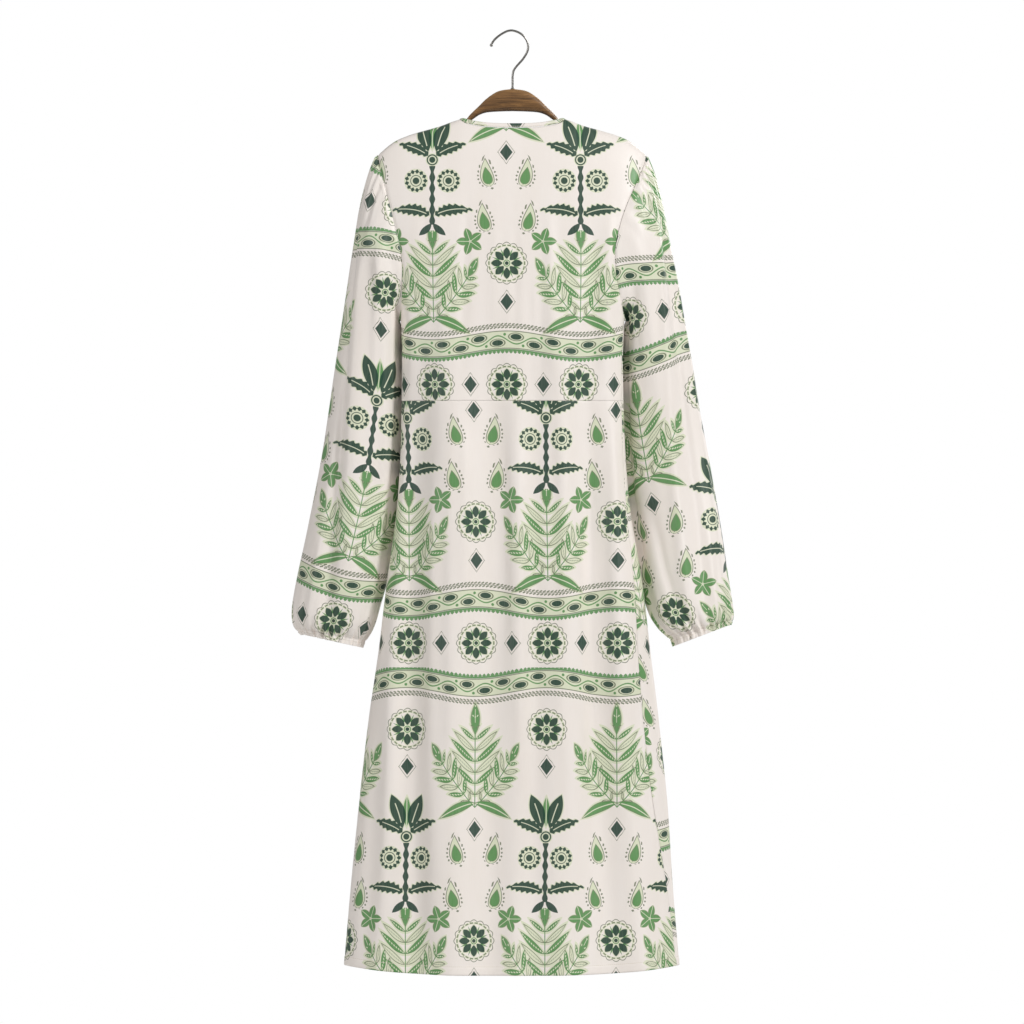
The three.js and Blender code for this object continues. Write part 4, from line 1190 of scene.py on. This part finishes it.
# Folds down a sleeve: turn from its outer edge at the start and the end (degrees, + over the back), half
# width, depth (+ outwards), and the ring numbers between which each lies.
left_folds = [
    (12, 94, 9, -6.0, 2, 13), (28, 118, 19, 6.5, 2, 12.6), (100, 118, 11, -2.0, 3, 12),
    (72, 132, 10, 2.4, 0.6, 9), (78, 108, 8, 2.0, 2, 9), (52, 36, 8, -3.0, 0.3, 5),
    (124, 122, 15, 3, 1.5, 11.5), (112, 88, 7, -2.0, 7, 12.8), (50, 60, 7, 2.2, 9, 12.9),
    (-62, -84, 11, -5.4, 0.5, 12), (-108, -116, 13, 4.4, 2, 12), (-36, -50, 9, 3.4, 1, 10),
    (-134, -140, 10, -3.6, 3, 11), (-84, -100, 9, -3.0, 4, 12),
]
right_folds = [
    (26, 76, 9, -4.6, 2, 12.5), (92, 84, 12, 2.6, 1, 12), (118, 110, 9, -1.8, 1, 11),
    (152, 150, 9, -7.0, -1.5, 11.5), (48, 96, 10, 3.4, 2, 11), (12, 40, 8, 2.8, 3, 12),
    (74, 100, 8, 2.0, 6, 13), (124, 96, 7, -2.6, 8, 12.9), (44, 60, 7, 2.4, 8.5, 12.9),
    (-58, -76, 11, -5.0, 0.5, 12), (-100, -112, 13, 4.2, 2, 12), (-32, -46, 9, 3.4, 1, 11),
    (-132, -142, 10, -3.6, 2, 10), (-80, -92, 9, -2.8, 5, 12.5),
]
SLEEVE_ROUND = 236
SLEEVE_ROWS = 200
ELASTIC_RING, LAST_RING = 13.0, 14
RING_LENGTH = 11.0
CASING_HALF = 3.2
SLEEVE_SLANT = math.radians(13)
ARMHOLE_GAP = 0.45
BACK_FULLNESS = {-1: 0.3, 1: 0.12}
TUCK_IN, TUCK_FORWARD = 3.0, 5.0
HEAD_GATHERS, WRIST_GATHERS, FINE_GATHERS = 30, 24, 41
HEAD_DEPTH, WRIST_DEPTH, FINE_DEPTH = 2.1, 2.6, 1.3
ELASTIC_DEPTH, ELASTIC_HALF = 1.2, 0.16
FRILL_EASE = 1.3


def gathers(turn, count, seed):
    """Close uneven gathers round a ring, from -1 to 1."""
    wander = 0.5 * np.sin(2 * turn + seed) + 0.4 * np.sin(3 * turn + 2.1 * seed)
    wander += 0.3 * np.sin(5 * turn - seed)
    size = 0.72 + 0.28 * np.sin(4 * turn + 1.7 * seed)
    return size * np.sin(count * turn + 1.6 * wander)


def run_round(turn, half_width, half_depth):
    """Length round an oval from its outer end to a turn."""
    steps = (turn * share for share in (np.arange(24) + 0.5) / 24)
    return sum(np.hypot(half_width * np.sin(t), half_depth * np.cos(t)) for t in steps) * turn / 24


def armhole(side, turn):
    """The armhole's edge at turns round it from the shoulder, and the way out of the body there."""
    middle, reach = (SHOULDER_TIP + UNDERARM) / 2, (SHOULDER_TIP - UNDERARM) / 2
    z = middle + reach * np.cos(turn)
    angle = np.where(turn >= 0, seam_angle(side, -1, z), seam_angle(side, 1, z))
    on_side_line = np.abs(np.abs(np.cos(turn)) - 1) < 1e-9
    angle = np.where(on_side_line, side * 90.0, angle)
    way = body_outward(angle, z)
    edge = body_point(angle, z)
    heart = np.array([float(body_point(np.array(side * 90.0), np.array(middle))[0]), 0, middle])
    inward = heart - edge
    inward = unit(inward - way * np.sum(inward * way, axis=-1, keepdims=True))
    return edge + inward * ARMHOLE_GAP, way


def sleeve_lift(turn, ring, points, folds, seed):
    """Rise of the folds, of the gathers over the shoulder and of those that the elastic makes."""
    degrees = np.degrees(turn)
    lift = np.zeros_like(turn)
    for start, end, spread, deep, first, last in folds:
        share = (ring - first) / (last - first)
        off = (degrees - mixed(start, end, np.clip(share, 0, 1))) / spread
        lift += deep * smooth(-0.02, 0.22, share) * (1 - smooth(0.78, 1.02, share)) * np.exp(-off * off)
    head = smooth(0.1, 0.7, ring) * (1 - smooth(0.9, 3.4, ring)) * np.exp(-((degrees - 4) / 62) ** 2)
    lift += HEAD_DEPTH * head * gathers(turn, HEAD_GATHERS, seed + 2)
    drawn = smooth(9.8, ELASTIC_RING, ring)
    lift += WRIST_DEPTH * drawn**1.4 * gathers(turn, WRIST_GATHERS, seed)
    lift += FINE_DEPTH * smooth(11.6, ELASTIC_RING, ring) * gathers(turn, FINE_GATHERS, seed + 4)
    lift -= ELASTIC_DEPTH * np.exp(-((ring - ELASTIC_RING) / ELASTIC_HALF) ** 2)
    lift -= FRILL_EASE * smooth(ELASTIC_RING, LAST_RING, ring) * gathers(turn, WRIST_GATHERS, seed)
    lift += 0.7 * uneven(points, seed, 24, 110) * smooth(1, 3, ring)
    lift[0] = 0
    return lift


def sleeve_ways(side, turn, ring, points, depth):
    """Cloth round the sleeve from its outer line, and down it, in mm, with the slack at the end kept."""
    hang = np.array([side * math.sin(SLEEVE_SLANT), 0, -math.cos(SLEEVE_SLANT)])
    across = np.array([side * math.cos(SLEEVE_SLANT), 0, math.sin(SLEEVE_SLANT)])
    down_way, out_way = points @ hang, points @ across
    outer_line, tube = SLEEVE_ROUND // 2, int(np.searchsorted(ring[:, 0], 1))
    outer_down = down_way[:, outer_line]
    outer = np.interp(down_way, outer_down, out_way[:, outer_line])
    inner = np.interp(down_way, down_way[tube:, 0], out_way[tube:, 0])
    half_depth = np.interp(down_way, outer_down, depth[:, 0])
    half_width = (outer - inner) / 2
    round_turn = np.arccos(np.clip((out_way - (outer + inner) / 2) / half_width, -1, 1))
    run = run_round(round_turn, half_width, half_depth)
    whole = run_round(math.pi, half_width, half_depth)
    widest = np.interp(down_way, outer_down, np.maximum.accumulate(whole[:, outer_line]))
    return np.sign(turn) * run / whole * widest, down_way


def sleeve(name, side, outline_rows, folds, seed, map_start):
    turn = np.linspace(-math.pi, math.pi, SLEEVE_ROUND + 1)[None, :]
    ring = LAST_RING * closer_at_ends(SLEEVE_ROWS, 0.16)[:, None]
    turn, ring = np.broadcast_arrays(turn, ring)
    edge, edge_way = armhole(side, turn[0])
    row = np.clip(ring, 1, LAST_RING)
    out_x, out_z, in_x, in_z = (table_value(outline_rows, column, row) for column in range(1, 5))
    depth, line, eased = (table_value(sleeve_hang, column, row) for column in range(1, 4))
    eased = np.where(ring < 1, 0.3 * ring, eased)
    tucked = smooth(1.5, 3.2, ring) * (1 - smooth(9, 11, ring))
    in_x, line = in_x - side * TUCK_IN * tucked, line + TUCK_FORWARD * tucked
    outness = (1 + np.cos(turn)) / 2
    degrees = np.degrees(turn)
    rounder = BACK_FULLNESS[side] * tucked * smooth(0, 40, degrees) * (1 - smooth(105, 148, degrees))
    y = line - depth * np.sin(turn) * (1 + rounder)
    tube = np.stack([mixed(in_x, out_x, outness), y, mixed(in_z, out_z, outness)], axis=-1)
    points = mixed(edge[None, :, :], tube, np.clip(eased, 0, 1)[..., None])
    around = np.roll(points[:, :-1], -1, axis=1) - np.roll(points[:, :-1], 1, axis=1)
    around = np.concatenate([around, around[:, :1]], axis=1)
    outward = unit(np.cross(np.gradient(points, axis=0), around)) * -side
    outward[0] = edge_way
    sink = SEAM_SINK * np.exp(-((np.linalg.norm(points - points[:1], axis=-1)) / SEAM_ROLL) ** 2)
    round_way, down_way = sleeve_ways(side, turn, ring, points, depth)
    cloth_map = np.stack([round_way * MM + map_start[0], down_way * MM + map_start[1]], axis=-1)
    lift = sleeve_lift(turn, ring, points, folds, seed)
    stitch = np.abs(np.abs((ring - ELASTIC_RING) * RING_LENGTH) - CASING_HALF)
    points = points + outward * (lift - sink)[..., None]
    return cloth_grid(name, points, cloth_map, stitch, round_way, (side, 0, 0), ring=True)


sleeve_left = sleeve("sleeve_left_satin", -1, left_sleeve, left_folds, 1.3, (0.02, 0.27))
sleeve_right = sleeve("sleeve_right_satin", 1, right_sleeve, right_folds, 4.1, (0.10, 0.12))
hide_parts("sleeve_left")
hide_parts("sleeve_right")


# Buttons: ten four-hole shell buttons down the right front, each turned with a raised rim and a dished
# middle, held by two stitches of thread, over a buttonhole worked in close thread.
BUTTON_COUNT = 10
BUTTON_TOP = -326.0
BUTTON_PITCH = 84.0
BUTTON_RADIUS = 5.5
BUTTON_THICKNESS = 2.4
BUTTON_ROUND = 48

button_shell, tree, shader, pearl = clouded(
    "button_shell", {"Coat Weight": 0.5, "Coat Roughness": 0.12}, 260, 4, (208, 200, 184), (246, 242, 232),
    distortion=1.6)
tree.links.new(ranged(tree, pearl, 0, 1, 0.18, 0.34), shader.inputs["Roughness"])
# The buttons' holes are not cut through: each is a thin dark disc on the dished middle, painted shade where
# the hole would be.
painted_hole_shade = clouded("painted_hole_shade", {"Roughness": 0.8}, 900, 2, (70, 62, 52), (96, 86, 72))[0]

thread_cotton, tree, shader = new_material("cream_thread", {"Roughness": 0.7})
where = add_node(tree, "TexCoord", {})
ply = add_node(tree, "TexWave", {"Scale": 900, "Vector": where.outputs["Object"]}, bands_direction="DIAGONAL")
thread_tone = blend(tree, ply.outputs["Fac"], srgb(205, 194, 176), srgb(236, 228, 214))
tree.links.new(thread_tone, shader.inputs["Base Color"])
add_relief(tree, shader, ply.outputs["Fac"], 0.5, 0.0002)

# Half outline of a button: distance from its middle and height, as shares of its radius and thickness.
button_outline = [
    (0, 0), (0.72, 0), (0.9, 0.14), (0.985, 0.34), (1, 0.52), (0.985, 0.74), (0.93, 0.92), (0.85, 1),
    (0.76, 0.98), (0.68, 0.86), (0.58, 0.72), (0.4, 0.64), (0.2, 0.62), (0, 0.62),
]
HOLE_OFF = 1.15
HOLE_RADIUS = 0.55
HOLE_HEIGHT = 0.63 * BUTTON_THICKNESS
HOLE_DEPTH = 0.1
STRAND_SIZE = (0.17, HOLE_OFF + 0.35, 0.3)
STRAND_OFF = 0.16
STRAND_HEIGHT = 0.66 * BUTTON_THICKNESS
BUTTONHOLE_SIDE = (0.8, 7.6, 0.45)
BUTTONHOLE_OFF = 0.85
BUTTONHOLE_HEIGHT = -0.62


def add_bead(build, size, place, segments):
    """A long round bead of thread, by its half sizes and the place of its middle in mm."""
    bead = bmesh.ops.create_uvsphere(build, u_segments=segments, v_segments=8, radius=1)
    bmesh.ops.scale(build, verts=bead["verts"], vec=Vector(size) * MM)
    bmesh.ops.translate(build, verts=bead["verts"], vec=Vector(place) * MM)


def sewn_on(name, build, material):
    """A piece of a button, built flat on the origin, moved to where the button is sewn."""
    bmesh.ops.transform(build, matrix=stand, verts=build.verts)
    return finished(name, build, material)


for i in range(BUTTON_COUNT):
    z = np.array(BUTTON_TOP - i * BUTTON_PITCH)
    angle = angle_at(1, np.array(0.0), z)
    outward = Vector(body_outward(angle, z))
    seat = Vector(body_point(angle, z)) + outward * SEAM_GAP + Vector((0, SEAM_GAP, 0))
    stand = outward.to_track_quat("Z", "Y").to_matrix().to_4x4()
    stand.translation = seat * MM

    build = bmesh.new()
    rim = [build.verts.new((r * BUTTON_RADIUS * MM, 0, h * BUTTON_THICKNESS * MM)) for r, h in button_outline]
    edges = [build.edges.new(pair) for pair in zip(rim, rim[1:])]
    bmesh.ops.spin(build, geom=rim + edges, cent=(0, 0, 0), axis=(0, 0, 1), angle=2 * math.pi,
                   steps=BUTTON_ROUND, use_merge=True)
    bmesh.ops.remove_doubles(build, verts=build.verts, dist=1e-6)
    bmesh.ops.recalc_face_normals(build, faces=build.faces)
    button = sewn_on(f"button_{i + 1:02d}_shell", build, button_shell)

    # Four thin dark discs of painted shade stand for the four holes.
    build = bmesh.new()
    for x, y in ((-1, -1), (-1, 1), (1, -1), (1, 1)):
        eye = bmesh.ops.create_cone(build, cap_ends=True, segments=14, radius1=HOLE_RADIUS * MM,
                                    radius2=HOLE_RADIUS * MM, depth=HOLE_DEPTH * MM)
        eye_place = Vector((x * HOLE_OFF, y * HOLE_OFF, HOLE_HEIGHT)) * MM
        bmesh.ops.translate(build, verts=eye["verts"], vec=eye_place)
    hole_shade_discs = sewn_on(f"button_{i + 1:02d}_holes", build, painted_hole_shade)

    build = bmesh.new()
    for x in (-HOLE_OFF, HOLE_OFF):
        for strand in (-STRAND_OFF, STRAND_OFF):
            add_bead(build, STRAND_SIZE, (x + strand, 0, STRAND_HEIGHT), 10)
    sewn = sewn_on(f"button_{i + 1:02d}_thread", build, thread_cotton)

    build = bmesh.new()
    for x in (-BUTTONHOLE_OFF, BUTTONHOLE_OFF):
        add_bead(build, BUTTONHOLE_SIDE, (x, 0, BUTTONHOLE_HEIGHT), 16)
    buttonhole = sewn_on(f"buttonhole_{i + 1:02d}", build, thread_cotton)

    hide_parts(f"button_{i + 1:02d}")
